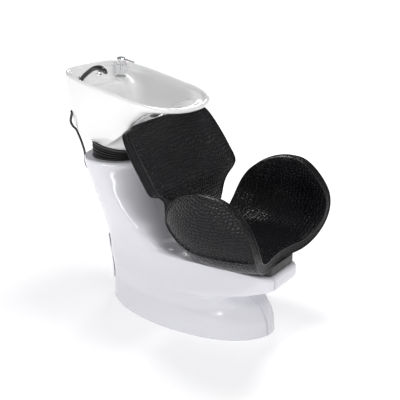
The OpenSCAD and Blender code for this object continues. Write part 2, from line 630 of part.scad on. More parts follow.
function along_spray(d) = spray_foot + d * [0, -cos(spray_up), sin(spray_up)];
spray_curve = [[-62, 1009], [-93, 1026], [-121, 1032], [-144, 1027], [-158, 1015]];
spray_line = [along_spray(22.3), along_spray(45),
    for (q = spray_curve) [holder_xy.x, spray_foot.y + q[0], q[1]]];
spray_r = [7.8, 9.5, 10.5, 11.5, 12.5, 12, 7];

module spray_handle() {
    m = (len(spray_line) - 1) * 3;
    line = [for (i = [0:1:m]) at(spray_line, i / 3)];
    rings = [for (i = [0:1:m]) let(
            t = unit(line[min(m, i + 1)] - line[max(0, i - 1)]),
            u = [1, 0, 0],
            v = cross(t, u),
            r = max(4, at(spray_r, i / 3)),
            f = ease(0, 3, i / 3),
            wide = mix(1, 1.12, f),
            thick = mix(1, 0.85, f))
        [for (k = [0:1:19]) line[i] + r * (cos(18 * k) * wide * u + sin(18 * k) * thick * v)]];
    color(black_rubber) skin(rings, false);
}

module spray_nozzle() {
    color(chrome) translate([holder_xy.x, spray_foot.y - 125, 1019.4]) rotate([12, 0, 0])
        translate([0, 0, -18]) difference() {
            rotate_extrude($fn = 64)
                polygon([[0, 0], [9.5, 0], [10.5, 1.5], [10.5, 6], [8, 9], [8, 16.5], [0, 16.5]]);
            for (a = [0:60:300]) rotate(a) translate([4, 0, -1]) cylinder(h = 3, r = 0.8, $fn = 16);
            for (a = [0:30:330]) rotate(a) translate([7.2, 0, -1]) cylinder(h = 3, r = 0.8, $fn = 16);
        }
}

spray_hose_route = [[-142, 487, 957], [-142, 491, 945], [-142, 491, 925], [-147, 487, 902],
    [-162, 481, 886], [-175, 477, 871], [-182.5, 478.5, 858], [-190, 480, 845], [-197, 483, 826],
    [-196, 488, 803], [-177, 496, 779], [-150, 506, 758], [-125, 518, 728], [-101, 530, 696],
    [-80, 541, 664], [-60, 553, 633], [-49, 563, 610], [-46, 566, 588], [-46.5, 560, 565],
    [-48, 544, 549], [-50, 523, 543], [-50, 505, 543], [-55, 480, 540], [-68, 440, 529], [-80, 400, 516],
    [-88, 365, 506], [-91, 339, 499], [-92, 316, 487], [-92, 301, 466], [-92, 295, 441]];

module spray_hose() {
    color(black_rubber) tube(spray_hose_route, spray_hose_d / 2, spray_hose_d / 2, 10, 2, [1, 0.3, 0]);
}

module bowl_grommet() {
    color(black_rubber) at_exit() translate([0, 0, -20]) ring(8.7, 6.2, 26);
}

module base_grommet() {
    color(black_rubber) translate([hose_entry[0], 509, hose_entry[1]]) rotate([-90, 0, 0])
        ring(8.7, 6.2, 14);
}

// ---------------------------------------------------------------- seat
seat_half = 556;
seat_depth = 174;
seat_power = 2.4;
seat_rise = 37;
seat_nu = 18;
// Point of the seat shell: s runs across from wing tip to wing tip, v from the front edge (-1) to the
// rear edge (1), o is the distance above the middle layer. The flat part narrows towards both edges and
// the rear edge rises.
function seat_pt(s, v, o, inset) = let(
        half = seat_half - inset, a = min(abs(s), half * 0.99999), ph = wing_angle, r = wing_bend_r,
        d = seat_depth + (v < 0 ? 74 : 50) * sin(180 * pow(a / seat_half, 1.82)),
        u = v * pow(1 - pow(a / half, seat_power), 1 / seat_power) * (1 - inset / d),
        flat = 161 - (u > 0 ? 82 : 50) * u * u,
        q = min(max((a - flat) / r * 180 / PI, 0), ph),
        l = max(0, a - flat - r * ph * PI / 180),
        x = min(a, flat) + r * sin(q) + l * cos(ph),
        z = seat_z + r * (1 - cos(q)) + l * sin(ph) + seat_rise * pow(max(u, 0), 2),
        y = -252 - 46 * pow(a / seat_half, 2) + d * u)
    [sgn(s) * (x - o * sin(q)), y, z + o * cos(q)];
// every layer has its columns at the same places; ends leaves out that many at each wing tip
function seat_cols(ends) = [for (i = [ends - seat_nu:1:seat_nu - ends]) let(t = 1 - abs(i) / seat_nu)
    sgn(i) * seat_half * (1 - pow(t, 2.2))];
function seat_rings(o0, o1, inset, ends, nv) = [for (s = seat_cols(ends))
    concat([for (j = [-nv:1:nv]) seat_pt(s, sin(90 * j / nv), o0, inset)],
        [for (j = [nv:-1:-nv]) seat_pt(s, sin(90 * j / nv), o1, inset)])];
// The padding is crowned and its rim wraps down over the edge of the board.
function pad_rings(nv) = [for (s = seat_cols(0)) let(
        vs = concat([-1, -0.965], [for (j = [1 - nv:1:nv - 1]) sin(90 * j / nv)], [0.965, 1]), n = len(vs))
    concat([for (k = [0:1:n - 1]) seat_pt(s, vs[k], k < 2 || k > n - 3 ? -seat_t / 4 + 0.5 : 4, 0)],
        [for (k = [n - 1:-1:0]) seat_pt(s, vs[k], seat_t / 2 - 4 * pow(abs(vs[k]), 6), 0)])];

module seat_padding() {
    color(black_vinyl) skin(pad_rings(4), false);
}

module seat_board() {
    color(ply) difference() {
        skin(seat_rings(-8.5, -1, 22, 4, 4), false);
        for (p = seat_bolt_pts) translate([p.x, p.y, seat_z - 30]) cylinder(h = 60, r = 4.3, $fn = 24);
        for (s = [-1, 1]) translate([s * 30, -210, seat_z - 30]) cylinder(h = 60, r = 4.3, $fn = 24);
    }
}

module seat_cover() {
    color(black_vinyl) difference() {
        skin(seat_rings(-seat_t / 2, -12.5, 0, 0, 4), false);
        for (p = seat_bolt_pts) translate([p.x, p.y, seat_z - 30]) cylinder(h = 60, r = 4.6, $fn = 24);
        for (s = [-1, 1]) translate([s * 30, -210, seat_z - 30]) cylinder(h = 60, r = 4.6, $fn = 24);
    }
}

module seat_riser() {
    color(black_rubber) difference() {
        translate([-94, -434, base_height(302)])
            cube([188, 190, seat_z - seat_t / 2 - base_height(302) - 0.8]);
        for (p = seat_bolt_pts) translate([p.x, p.y, 270]) cylinder(h = 90, r = 4.6, $fn = 24);
    }
}

module seat_bolts() {
    color(zinc) for (p = seat_bolt_pts) translate([p.x, p.y, 0]) {
        translate([0, 0, 257]) cylinder(h = 6.2, r = 7, $fn = 6);
        translate([0, 0, 262]) cylinder(h = seat_z - 262 - 1, r = 4, $fn = 24);
    }
}

// ---------------------------------------------------------------- backrest
// Front face from the bottom edge to the top edge: y, z, half width.
back_rows = [[-8, 402, 110], [-14, 416, 142], [-21, 446, 160], [-27, 490, 168], [-30, 535, 177],
    [-28, 567, 202], [-24, 591, 240], [-16, 612, 266], [-2, 636, 275], [22, 671, 275], [50, 712, 275],
    [78, 752, 272], [104, 790, 266], [124, 820, 256], [134, 835, 243], [139, 842, 216]];
function back_pt(h, u, o, inset) = let(
        q = at(back_rows, h),
        t = unit([at(back_rows, min(len(back_rows) - 1, h + 0.1))[0] - at(back_rows, max(0, h - 0.1))[0],
            at(back_rows, min(len(back_rows) - 1, h + 0.1))[1] - at(back_rows, max(0, h - 0.1))[1]]),
        w = q[2] - inset,
        x = w * u,
        c = 22 * pow(x / 270, 2),
        y = q[0] - c + t[1] * o,
        z = q[1] - t[0] * o)
    [x, y, z];
function back_rings(o0, o1, inset, hs, nu) = [for (h = hs)
    concat([for (i = [-nu:1:nu]) back_pt(h, sin(90 * i / nu), o0, inset)],
        [for (i = [nu:-1:-nu]) back_pt(h, sin(90 * i / nu), o1, inset)])];
// The padding is crowned and wraps over the edge of the board at the sides, the top and the bottom.
function back_pad_rings(hs, nu, depth) = [for (h = hs) let(
        us = concat([-1, -0.955], [for (i = [-nu:1:nu]) 0.945 * sin(90 * i / nu)], [0.955, 1]), n = len(us),
        wrap = h < 0.55 || h > back_top - 1.05)
    concat([for (k = [0:1:n - 1]) back_pt(h, us[k], 5 * pow(abs(us[k]), 6), 0)],
        [for (k = [n - 1:-1:0]) back_pt(h, us[k], wrap || k < 2 || k > n - 3 ? depth + 11.5 : depth, 0)])];
back_top = len(back_rows) - 1;
back_bolt_pts = [[-30, 500], [30, 500], [-30, 590], [30, 590]];

module backrest_padding() {
    color(black_vinyl) skin(back_pad_rings(concat([0, 0.5, 0.6, 1], [for (h = [1.5:0.75:back_top - 1.5]) h],
        [back_top - 1.1, back_top - 1, back_top]), 6, back_t * 0.55), false);
}

module backrest_board() {
    color(ply) difference() {
        skin(back_rings(back_t * 0.55 + 1, back_t * 0.55 + 11, 18, concat([for (h = [1:1:back_top - 2]) h],
            [back_top - 1.4]), 5), false);
        for (p = back_bolt_pts) translate([p.x, -40, p.y]) rotate([-90, 0, 0])
            cylinder(h = 120, r = 4.3, $fn = 24);
    }
}

module backrest_cover() {
    color(black_vinyl) difference() {
        skin(back_rings(back_t * 0.55 + 12, back_t, 0, concat([for (h = [0:0.8:back_top - 1.5]) h],
            [back_top - 1, back_top]), 6), false);
        for (p = back_bolt_pts) translate([p.x, -40, p.y]) rotate([-90, 0, 0])
            cylinder(h = 120, r = 4.6, $fn = 24);
    }
}

// centre line of the bent bar that joins the seat underside to the back of the backrest
bar_line = [[-236, 333], [-14, 333], [14, 339], [44, 362], [56, 390], [49.5, 425], [40.5, 465], [36, 510],
    [37.5, 560], [47, 606]];
function bar_side(d) = [for (i = [0:1:len(bar_line) - 1]) let(
        t = unit(bar_line[min(len(bar_line) - 1, i + 1)] - bar_line[max(0, i - 1)]))
    bar_line[i] + d * [-t.y, t.x]];

module backrest_bracket() {
    color(steel) difference() {
        translate([-50, 0, 0]) rotate([90, 0, 90]) linear_extrude(100)
            polygon(concat(bar_side(3), [for (i = [len(bar_line) - 1:-1:0]) bar_side(-3)[i]]));
        for (p = back_bolt_pts) translate([p.x, 0, p.y]) rotate([-90, 0, 0])
            cylinder(h = 90, r = 4.3, $fn = 24);
        for (s = [-1, 1]) translate([s * 30, -210, 300]) cylinder(h = 60, r = 4.3, $fn = 24);
    }
}

module bracket_screws() {
    color(zinc) for (s = [-1, 1]) translate([s * 30, -210, 0]) {
        translate([0, 0, 324]) cylinder(h = 5.6, r = 6.5, $fn = 6);
        translate([0, 0, 329]) cylinder(h = seat_z - 2 - 329, r = 4, $fn = 24);
    }
}

module backrest_bolts() {
    bar_face = [[465, 40.5], [510, 36], [560, 37.5], [606, 47]];
    color(zinc) for (p = back_bolt_pts) translate([p.x, lookup(p.y, bar_face) + 4.5, p.y])
        rotate([90, 0, 0]) {
            translate([0, 0, -5]) cylinder(h = 5.2, r = 6.5, $fn = 6);
            cylinder(h = 28, r = 4, $fn = 24);
        }
}

base_shell();
service_panel();
panel_screws();
steel_frame();
tilt_bracket();
bracket_bolts();
tilt_yoke();
tilt_pin();
tilt_nut();
friction_washers();
bellows();
bellows_ring();
bellows_screws();
bowl();
bowl_gasket();
waste_flange();
waste_nut();
hair_strainer();
waste_hose();
waste_outlet();
mixer_gasket();
mixer_body();
mixer_cartridge();
mixer_nut();
mixer_stem();
mixer_lever();
mixer_indicator();
hot_hose();
cold_hose();
mix_hose();
inlet_fittings();
mix_coupling();
spray_holder();
spray_holder_nut();
spray_handle();
spray_collar();
spray_nozzle();
spray_hose();
bowl_grommet();
base_grommet();
seat_padding();
seat_board();
seat_cover();
seat_riser();
seat_bolts();
backrest_padding();
backrest_board();
backrest_cover();
backrest_bracket();
bracket_screws();
backrest_bolts();
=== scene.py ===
import json
import math

import bpy
import numpy as np
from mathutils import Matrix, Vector
from mathutils.kdtree import KDTree


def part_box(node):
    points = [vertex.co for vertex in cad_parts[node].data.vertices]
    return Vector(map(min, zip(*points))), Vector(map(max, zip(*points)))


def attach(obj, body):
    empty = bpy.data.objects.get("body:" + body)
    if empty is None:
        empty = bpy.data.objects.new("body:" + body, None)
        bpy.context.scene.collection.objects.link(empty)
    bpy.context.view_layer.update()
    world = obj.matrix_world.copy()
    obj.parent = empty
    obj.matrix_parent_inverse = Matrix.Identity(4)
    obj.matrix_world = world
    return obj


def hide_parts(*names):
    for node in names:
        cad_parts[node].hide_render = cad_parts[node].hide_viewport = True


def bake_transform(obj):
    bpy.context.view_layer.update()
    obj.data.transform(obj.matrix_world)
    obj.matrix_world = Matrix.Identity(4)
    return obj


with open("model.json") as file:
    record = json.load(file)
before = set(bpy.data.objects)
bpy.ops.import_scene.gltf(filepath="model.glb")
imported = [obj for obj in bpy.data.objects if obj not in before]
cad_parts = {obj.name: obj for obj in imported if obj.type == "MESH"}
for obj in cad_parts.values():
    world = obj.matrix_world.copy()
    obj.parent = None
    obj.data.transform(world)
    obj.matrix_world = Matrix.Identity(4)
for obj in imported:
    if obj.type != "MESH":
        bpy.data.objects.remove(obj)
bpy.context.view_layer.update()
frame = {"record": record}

MM = 0.001
PI = math.pi
scene = bpy.context.scene


# ---------------- camera
def aim(obj, at):
    obj.rotation_euler = (Vector(at) - obj.location).to_track_quat("-Z", "Y").to_euler()


cam_data = bpy.data.cameras.new("camera")
cam_data.lens = 65.84
cam_data.sensor_width = 36.0
camera = bpy.data.objects.new("camera", cam_data)
scene.collection.objects.link(camera)
camera.location = (-2.3117, -1.6904, 1.5324)
aim(camera, (0.0, -0.036, 0.507))
scene.camera = camera


# ---------------- maths
def clamp01(x):
    return np.clip(x, 0.0, 1.0)


def ease(a, b, x):
    u = clamp01((x - a) / (b - a))
    return u * u * (3 - 2 * u)


def mix(a, b, t):
    return a + (b - a) * t


def sgn(x):
    return np.where(x < 0, -1.0, 1.0)


def unit(v):
    return v / np.maximum(np.linalg.norm(v, axis=-1, keepdims=True), 1e-12)


def cubic(a, b, c, d, t):
    """Point between b and c on a smooth line through a, b, c and d."""
    return 0.5 * (2 * b + (c - a) * t + (2 * a - 5 * b + 4 * c - d) * t * t
                  + (3 * b - a - 3 * c + d) * t ** 3)


def catmull(points, steps):
    """Smooth line through the points, the way part.scad makes its hoses."""
    p = np.array(points, float)
    n = len(p) - 1
    out = []
    for i in range(n):
        a, b, c, d = p[max(0, i - 1)], p[i], p[i + 1], p[min(n, i + 2)]
        for k in range(steps):
            out.append(cubic(a, b, c, d, k / steps))
    out.append(p[-1])
    return np.array(out)


def catmull_at(points, s):
    """Point of that line at row s, which need not be a whole number."""
    p = np.array(points, float)
    n = len(p) - 1
    i = min(n - 1, max(0, int(math.floor(s))))
    return cubic(p[max(0, i - 1)], p[i], p[i + 1], p[min(n, i + 2)], s - i)


def monotone(x, y, q):
    """Smooth curve through (x, y) rows that never overshoots between them."""
    x, y, q = np.array(x, float), np.array(y, float), np.array(q, float)
    h = np.diff(x)[:, None]
    d = np.diff(y, axis=0) / h
    m = np.zeros_like(y)
    m[0], m[-1] = d[0], d[-1]
    w1, w2 = 2 * h[1:] + h[:-1], h[1:] + 2 * h[:-1]
    same = d[:-1] * d[1:] > 0
    with np.errstate(divide="ignore", invalid="ignore"):
        m[1:-1] = np.where(same, (w1 + w2) / (w1 / d[:-1] + w2 / d[1:]), 0)
    i = np.clip(np.searchsorted(x, q, side="right") - 1, 0, len(x) - 2)
    hh = h[i]
    t = (q - x[i])[:, None] / hh
    return ((1 + 2 * t) * (1 - t) ** 2 * y[i] + t * (1 - t) ** 2 * hh * m[i]
            + t * t * (3 - 2 * t) * y[i + 1] + t * t * (t - 1) * hh * m[i + 1])


def run_along(points):
    """Distance from the first point to each point of a line."""
    return np.r_[0, np.cumsum(np.linalg.norm(np.diff(points, axis=0), axis=1))]


def at_distances(q, run, points):
    """Points at the distances q along a line."""
    return np.stack([np.interp(q, run, points[:, k]) for k in range(3)], -1)


def squircle(angles, power):
    """Cosine and sine raised to a power, which squares up or pinches a circle."""
    c, s = np.cos(angles), np.sin(angles)
    return sgn(c) * np.abs(c) ** power, sgn(s) * np.abs(s) ** power


# ---------------- mesh building
def add_mesh(name, verts, faces, material, uv=None):
    """Smooth-shaded mesh object from points in millimetres."""
    mesh = bpy.data.meshes.new(name)
    mesh.from_pydata((np.array(verts, float) * MM).tolist(), [], [tuple(int(i) for i in f) for f in faces])
    mesh.update()
    if uv is not None:
        uv = np.array(uv, float)
        layer = mesh.uv_layers.new(name="UVMap")
        loops = np.zeros(len(mesh.loops), dtype=np.int32)
        mesh.loops.foreach_get("vertex_index", loops)
        layer.data.foreach_set("uv", uv[loops].ravel())
    mesh.polygons.foreach_set("use_smooth", [True] * len(mesh.polygons))
    obj = bpy.data.objects.new(name, mesh)
    scene.collection.objects.link(obj)
    mesh.materials.append(material)
    return obj


def place(obj, body, slot, *nodes):
    """Ride on a body and stand for the named CAD nodes, which are hidden; the slot is not used."""
    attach(obj, body)
    if nodes:
        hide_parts(*nodes)
    return obj


def place_blended(obj, node):
    """Bake the placement into the points and hide the CAD node it stands for."""
    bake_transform(obj)
    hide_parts(node)


def thicken(obj, thickness):
    """Give a skin its wall on the inner side; thickness in metres."""
    wall = obj.modifiers.new("wall", "SOLIDIFY")
    wall.thickness = thickness
    wall.offset = -1


def lattice(m, n, wrap_m=False, wrap_n=True):
    """Quads of an m by n grid of points."""
    faces = []
    for i in range(m if wrap_m else m - 1):
        for j in range(n if wrap_n else n - 1):
            k, l = (i + 1) % m, (j + 1) % n
            faces.append((i * n + j, i * n + l, k * n + l, k * n + j))
    return faces


def end_caps(m, n):
    """Faces that close both ends of a lattice of m rings of n points."""
    return [tuple(range(n - 1, -1, -1)), tuple(range((m - 1) * n, m * n))]


def flipped(faces):
    return [tuple(reversed(f)) for f in faces]


def tube_mesh(line, radius, sides=12, closed=False, up=(0.2, 0.1, 1.0)):
    """Points and quads of a round bar along a line; radius is a number or one per point."""
    line = np.array(line, float)
    m = len(line)
    r = np.full(m, radius) if np.isscalar(radius) else np.array(radius, float)
    if closed:
        t = unit(np.roll(line, -1, 0) - np.roll(line, 1, 0))
    else:
        t = unit(np.gradient(line, axis=0))
    u = np.zeros_like(line)
    ref = np.array(up, float)
    for i in range(m):
        ref = ref - t[i] * np.dot(ref, t[i])
        ref = ref / max(np.linalg.norm(ref), 1e-9)
        u[i] = ref
    v = np.cross(t, u)
    if closed:
        # spread the leftover twist of the frame round the loop
        twist = math.atan2(np.dot(u[0], v[-1]), np.dot(u[0], u[-1]))
        ang = -twist * np.arange(m) / m
        c, s = np.cos(ang)[:, None], np.sin(ang)[:, None]
        u, v = u * c - v * s, v * c + u * s
    a = np.arange(sides) * 2 * PI / sides
    ring = np.cos(a)[None, :, None] * u[:, None] + np.sin(a)[None, :, None] * v[:, None]
    pts = (line[:, None] + ring * r[:, None, None]).reshape(-1, 3)
    faces = lattice(m, sides, wrap_m=closed)
    if not closed:
        faces += end_caps(m, sides)
    return pts, faces


def revolve_mesh(profile, n=96):
    """Points and quads of a profile of (radius, height) turned about Z."""
    prof = np.array(profile, float)
    a = np.arange(n) * 2 * PI / n
    pts = np.stack([prof[:, 0, None] * np.cos(a), prof[:, 0, None] * np.sin(a),
                    np.repeat(prof[:, 1, None], n, 1)], -1).reshape(-1, 3)
    return pts, lattice(len(prof), n)


def resample(line, step, closed=False):
    """Points of a line at about equal steps."""
    p = np.array(line, float)
    if closed:
        p = np.vstack([p, p[:1]])
    d = run_along(p)
    n = max(2, int(round(d[-1] / step)))
    out = at_distances(np.linspace(0, d[-1], n + 1), d, p)
    return out[:-1] if closed else out


# ---------------- materials
class Nodes:
    """Short hand for a material's node tree."""

    def __init__(self, name):
        self.mat = bpy.data.materials.new(name)
        self.mat.use_nodes = True
        self.tree = self.mat.node_tree
        self.bsdf = self.tree.nodes["Principled BSDF"]

    def set(self, **values):
        for key, value in values.items():
            self.bsdf.inputs[key.replace("_", " ")].default_value = value
        return self

    def add(self, kind, **values):
        """Node with its properties (small first letter) and its sockets (capital first letter) set."""
        node = self.tree.nodes.new(kind)
        for key, value in values.items():
            if key[0].islower():
                setattr(node, key, value)
            else:
                node.inputs[key.replace("_", " ")].default_value = value
        return node

    def link(self, a, b):
        self.tree.links.new(a, b)

    def coords(self, kind="Object", scale=(1, 1, 1)):
        tex = self.add("ShaderNodeTexCoord")
        mapping = self.add("ShaderNodeMapping", Scale=scale)
        self.link(tex.outputs[kind], mapping.inputs["Vector"])
        return mapping.outputs["Vector"]

    def noise(self, vector, scale, detail=3.0):
        n = self.add("ShaderNodeTexNoise", Scale=scale, Detail=detail)
        self.link(vector, n.inputs["Vector"])
        return n.outputs["Fac"]

    def ramp(self, fac, stops):
        r = self.add("ShaderNodeValToRGB")
        while len(r.color_ramp.elements) < len(stops):
            r.color_ramp.elements.new(0.5)
        for e, (p, c) in zip(r.color_ramp.elements, stops):
            e.position = p
            e.color = c if len(c) == 4 else (*c, 1)
        self.link(fac, r.inputs["Fac"])
        return r.outputs["Color"]

    def range(self, fac, a, b, c, d, smooth=False):
        """Value mapped from the range a to b onto the range c to d."""
        r = self.add("ShaderNodeMapRange", From_Min=a, From_Max=b, To_Min=c, To_Max=d,
                     interpolation_type="SMOOTHSTEP" if smooth else "LINEAR")
        self.link(fac, r.inputs["Value"])
        return r.outputs["Result"]

    def maths(self, op, a, b):
        m = self.add("ShaderNodeMath", operation=op)
        for i, v in enumerate((a, b)):
            if isinstance(v, (int, float)):
                m.inputs[i].default_value = v
            else:
                self.link(v, m.inputs[i])
        return m.outputs["Value"]

    def bump(self, height, distance, strength=1.0, normal=None):
        b = self.add("ShaderNodeBump", Distance=distance, Strength=strength)
        self.link(height, b.inputs["Height"])
        if normal is not None:
            self.link(normal, b.inputs["Normal"])
        return b.outputs["Normal"]

    def out(self, socket, name):
        self.link(socket, self.bsdf.inputs[name])
        return self


def gelcoat_material():
    m = Nodes("white gelcoat")
    v = m.coords()
    m.set(Coat_Weight=0.6, Coat_Roughness=0.06, Specular_IOR_Level=0.5)
    m.out(m.ramp(m.noise(v, 1.6, 2), [(0.3, (0.74, 0.74, 0.785)), (0.75, (0.78, 0.78, 0.815))]), "Base Color")
    m.out(m.range(m.noise(v, 6.0, 4), 0.3, 0.7, 0.16, 0.24), "Roughness")
    peel = m.bump(m.noise(v, 160.0, 2), 0.0002, 0.25)
    m.out(m.bump(m.noise(v, 7.0, 2), 0.0012, 0.35, peel), "Normal")
    return m.mat


def glaze_material():
    m = Nodes("white glaze")
    v = m.coords()
    m.set(Coat_Weight=1.0, Coat_Roughness=0.03, Specular_IOR_Level=0.6)
    m.out(m.ramp(m.noise(v, 3.0, 3), [(0.3, (0.84, 0.84, 0.84)), (0.8, (0.87, 0.87, 0.865))]), "Base Color")
    m.out(m.range(m.noise(v, 9.0, 3), 0.3, 0.7, 0.10, 0.17), "Roughness")
    wave = m.bump(m.noise(v, 14.0, 2), 0.0008, 0.25)
    m.out(m.bump(m.noise(v, 220.0, 1), 0.0001, 0.2, wave), "Normal")
    return m.mat


def vinyl_material(name, cell=0.0115, depth=0.0022, specular=0.24):
    """Glossy black vinyl embossed with crocodile scales, laid out on the panel's own flat coordinates."""
    m = Nodes(name)
    v = m.coords("UV")
    m.set(Specular_IOR_Level=specular)
    warp = m.add("ShaderNodeTexNoise", Scale=9.0, Detail=1.0)
    m.link(v, warp.inputs["Vector"])
    moved = m.add("ShaderNodeMix", data_type="VECTOR")
    moved.inputs[0].default_value = 0.035
    m.link(v, moved.inputs[4])
    m.link(warp.outputs["Color"], moved.inputs[5])
    scaled = m.add("ShaderNodeMapping", Scale=(1 / cell, 1 / (cell * 1.35), 1))
    m.link(moved.outputs[1], scaled.inputs["Vector"])
    edge, middle = [
        m.add("ShaderNodeTexVoronoi", voronoi_dimensions="2D", feature=kind, Scale=1.0, Randomness=0.55)
        for kind in ("DISTANCE_TO_EDGE", "F1")]
    for cells in (edge, middle):
        m.link(scaled.outputs["Vector"], cells.inputs["Vector"])
    raised = m.range(edge.outputs["Distance"], 0.02, 0.22, 0.0, 1.0, smooth=True)
    patch = m.noise(v, 5.0, 2)
    # The grooves between the scales are coloured darker than the raised cells: painted shade in the recesses.
    painted_groove_shade = m.ramp(raised, [(0.0, (0.0015, 0.0015, 0.002)), (1.0, (0.0070, 0.0066, 0.0085))])
    shade = m.add("ShaderNodeMix", data_type="RGBA", blend_type="MULTIPLY")
    shade.inputs[0].default_value = 1.0
    m.link(painted_groove_shade, shade.inputs[6])
    m.link(m.ramp(patch, [(0.3, (0.75, 0.75, 0.75)), (0.8, (1.15, 1.12, 1.2))]), shade.inputs[7])
    m.out(shade.outputs[2], "Base Color")
    rough = m.maths("ADD", m.range(raised, 0, 1, 0.42, 0.17), m.range(patch, 0.3, 0.7, -0.02, 0.05))
    m.out(rough, "Roughness")
    tilt = m.range(middle.outputs["Distance"], 0.0, 0.7, 1.0, 0.55)
    height = m.maths("MULTIPLY", raised, tilt)
    grain = m.bump(m.noise(v, 900.0, 2), 0.0001, 0.3)
    m.out(m.bump(height, depth, 1.0, grain), "Normal")
    return m.mat


def piping_material():
    m = Nodes("black piping")
    v = m.coords()
    m.set(Specular_IOR_Level=0.25)
    stops = [(0.3, (0.004, 0.004, 0.005)), (0.8, (0.010, 0.010, 0.011))]
    m.out(m.ramp(m.noise(v, 40, 2), stops), "Base Color")
    m.out(m.range(m.noise(v, 60.0, 3), 0.3, 0.7, 0.20, 0.32), "Roughness")
    m.out(m.bump(m.noise(v, 420.0, 2), 0.0003, 0.5), "Normal")
    return m.mat


def soft_black(name, low, high, rough, grain, depth, coat=0.0):
    m = Nodes(name)
    v = m.coords()
    m.set(Coat_Weight=coat, Coat_Roughness=0.1)
    m.out(m.ramp(m.noise(v, 12, 3), [(0.3, (low, low, low)), (0.8, (high, high, high * 1.05))]), "Base Color")
    m.out(m.range(m.noise(v, 30.0, 3), 0.3, 0.7, rough - 0.06, rough + 0.06), "Roughness")
    m.out(m.bump(m.noise(v, grain, 3), depth, 0.5), "Normal")
    return m.mat


def metal(name, color, rough, scratch=(1, 1, 1), spots=None):
    m = Nodes(name)
    v = m.coords(scale=scratch)
    m.set(Metallic=1.0)
    light = tuple(min(1.0, c * 1.04) for c in color)
    dark = tuple(c * 0.90 for c in (spots or color))
    m.out(m.ramp(m.noise(v, 18, 4), [(0.25, dark), (0.7, light)]), "Base Color")
    m.out(m.range(m.noise(v, 90.0, 4), 0.25, 0.75, rough * 0.7, rough * 1.4), "Roughness")
    m.out(m.bump(m.noise(v, 300.0, 2), 0.00015, 0.2), "Normal")
    return m.mat


def painted(name, low, high, rough, grain):
    m = Nodes(name)
    v = m.coords()
    m.out(m.ramp(m.noise(v, 8, 4), [(0.3, low), (0.8, high)]), "Base Color")
    m.out(m.range(m.noise(v, 50.0, 3), 0.3, 0.7, rough - 0.07, rough + 0.07), "Roughness")
    m.out(m.bump(m.noise(v, grain, 2), 0.0003, 0.4), "Normal")
    return m.mat


def plywood_material():
    m = Nodes("birch plywood")
    v = m.coords(scale=(1, 14, 1))
    rings = m.add("ShaderNodeTexWave", bands_direction="Y", Scale=1.5, Distortion=5.0, Detail=3.0)
    m.link(v, rings.inputs["Vector"])
    m.out(m.ramp(rings.outputs["Fac"], [(0.2, (0.50, 0.35, 0.20)), (0.8, (0.68, 0.52, 0.34))]), "Base Color")
    m.out(m.range(m.noise(v, 20.0, 4), 0.3, 0.7, 0.55, 0.75), "Roughness")
    m.out(m.bump(rings.outputs["Fac"], 0.0004, 0.4), "Normal")
    return m.mat


def braid_material():
    """Braided stainless hose: two crossing sets of fine strands."""
    m = Nodes("braided steel")
    v = m.coords()
    m.set(Metallic=1.0)
    strands = []
    for direction in ("DIAGONAL", "Z"):
        w = m.add("ShaderNodeTexWave", bands_direction=direction, Scale=160.0, Distortion=1.0)
        m.link(v, w.inputs["Vector"])
        strands.append(w.outputs["Fac"])
    weave = m.maths("MULTIPLY", strands[0], strands[1])
    m.out(m.ramp(weave, [(0.1, (0.25, 0.25, 0.26)), (0.7, (0.75, 0.76, 0.78))]), "Base Color")
    m.out(m.range(weave, 0, 1, 0.5, 0.25), "Roughness")
    m.out(m.bump(weave, 0.0006, 0.7), "Normal")
    return m.mat


MAT = {
    "white_gelcoat": gelcoat_material(),
    "white_ceramic": glaze_material(),
    "black_vinyl": vinyl_material("crocodile vinyl"),
    "fine_vinyl": vinyl_material("fine crocodile vinyl", 0.0078, 0.0014, 0.14),
    "piping": piping_material(),
    "thread": soft_black("black thread", 0.02, 0.035, 0.6, 2500, 0.0003),
    "plywood": plywood_material(),
    "black_rubber": soft_black("satin rubber", 0.010, 0.020, 0.42, 260, 0.0003),
    "hose_rubber": soft_black("hose rubber", 0.008, 0.014, 0.34, 500, 0.0002, 0.2),
    "black_plastic": soft_black("gloss grip", 0.006, 0.010, 0.16, 700, 0.0001, 0.5),
    "chrome": metal("polished chrome", (0.86, 0.87, 0.88), 0.07),
    "red_indicator": painted("red dot", (0.60, 0.02, 0.02), (0.72, 0.04, 0.04), 0.2, 500),
    "grey_steel": painted("grey powder coat", (0.055, 0.058, 0.062), (0.085, 0.088, 0.092), 0.5, 900),
    "zinc_fastener": metal("zinc plate", (0.66, 0.67, 0.69), 0.30, (1, 1, 4), (0.60, 0.60, 0.58)),
    "brass": metal("turned brass", (0.80, 0.62, 0.30), 0.26, (1, 1, 6)),
    "grey_pvc": painted("grey pvc", (0.16, 0.165, 0.175), (0.21, 0.215, 0.225), 0.42, 400),
    "braided_steel": braid_material(),
}

# CAD pieces that stay get the finish of their slot
for part in frame["record"]["subparts"]:
    node_obj = bpy.data.objects.get(part["node"])
    if node_obj is None:
        continue
    node_obj.data.materials.clear()
    node_obj.data.materials.append(MAT[part["material_slot"]])

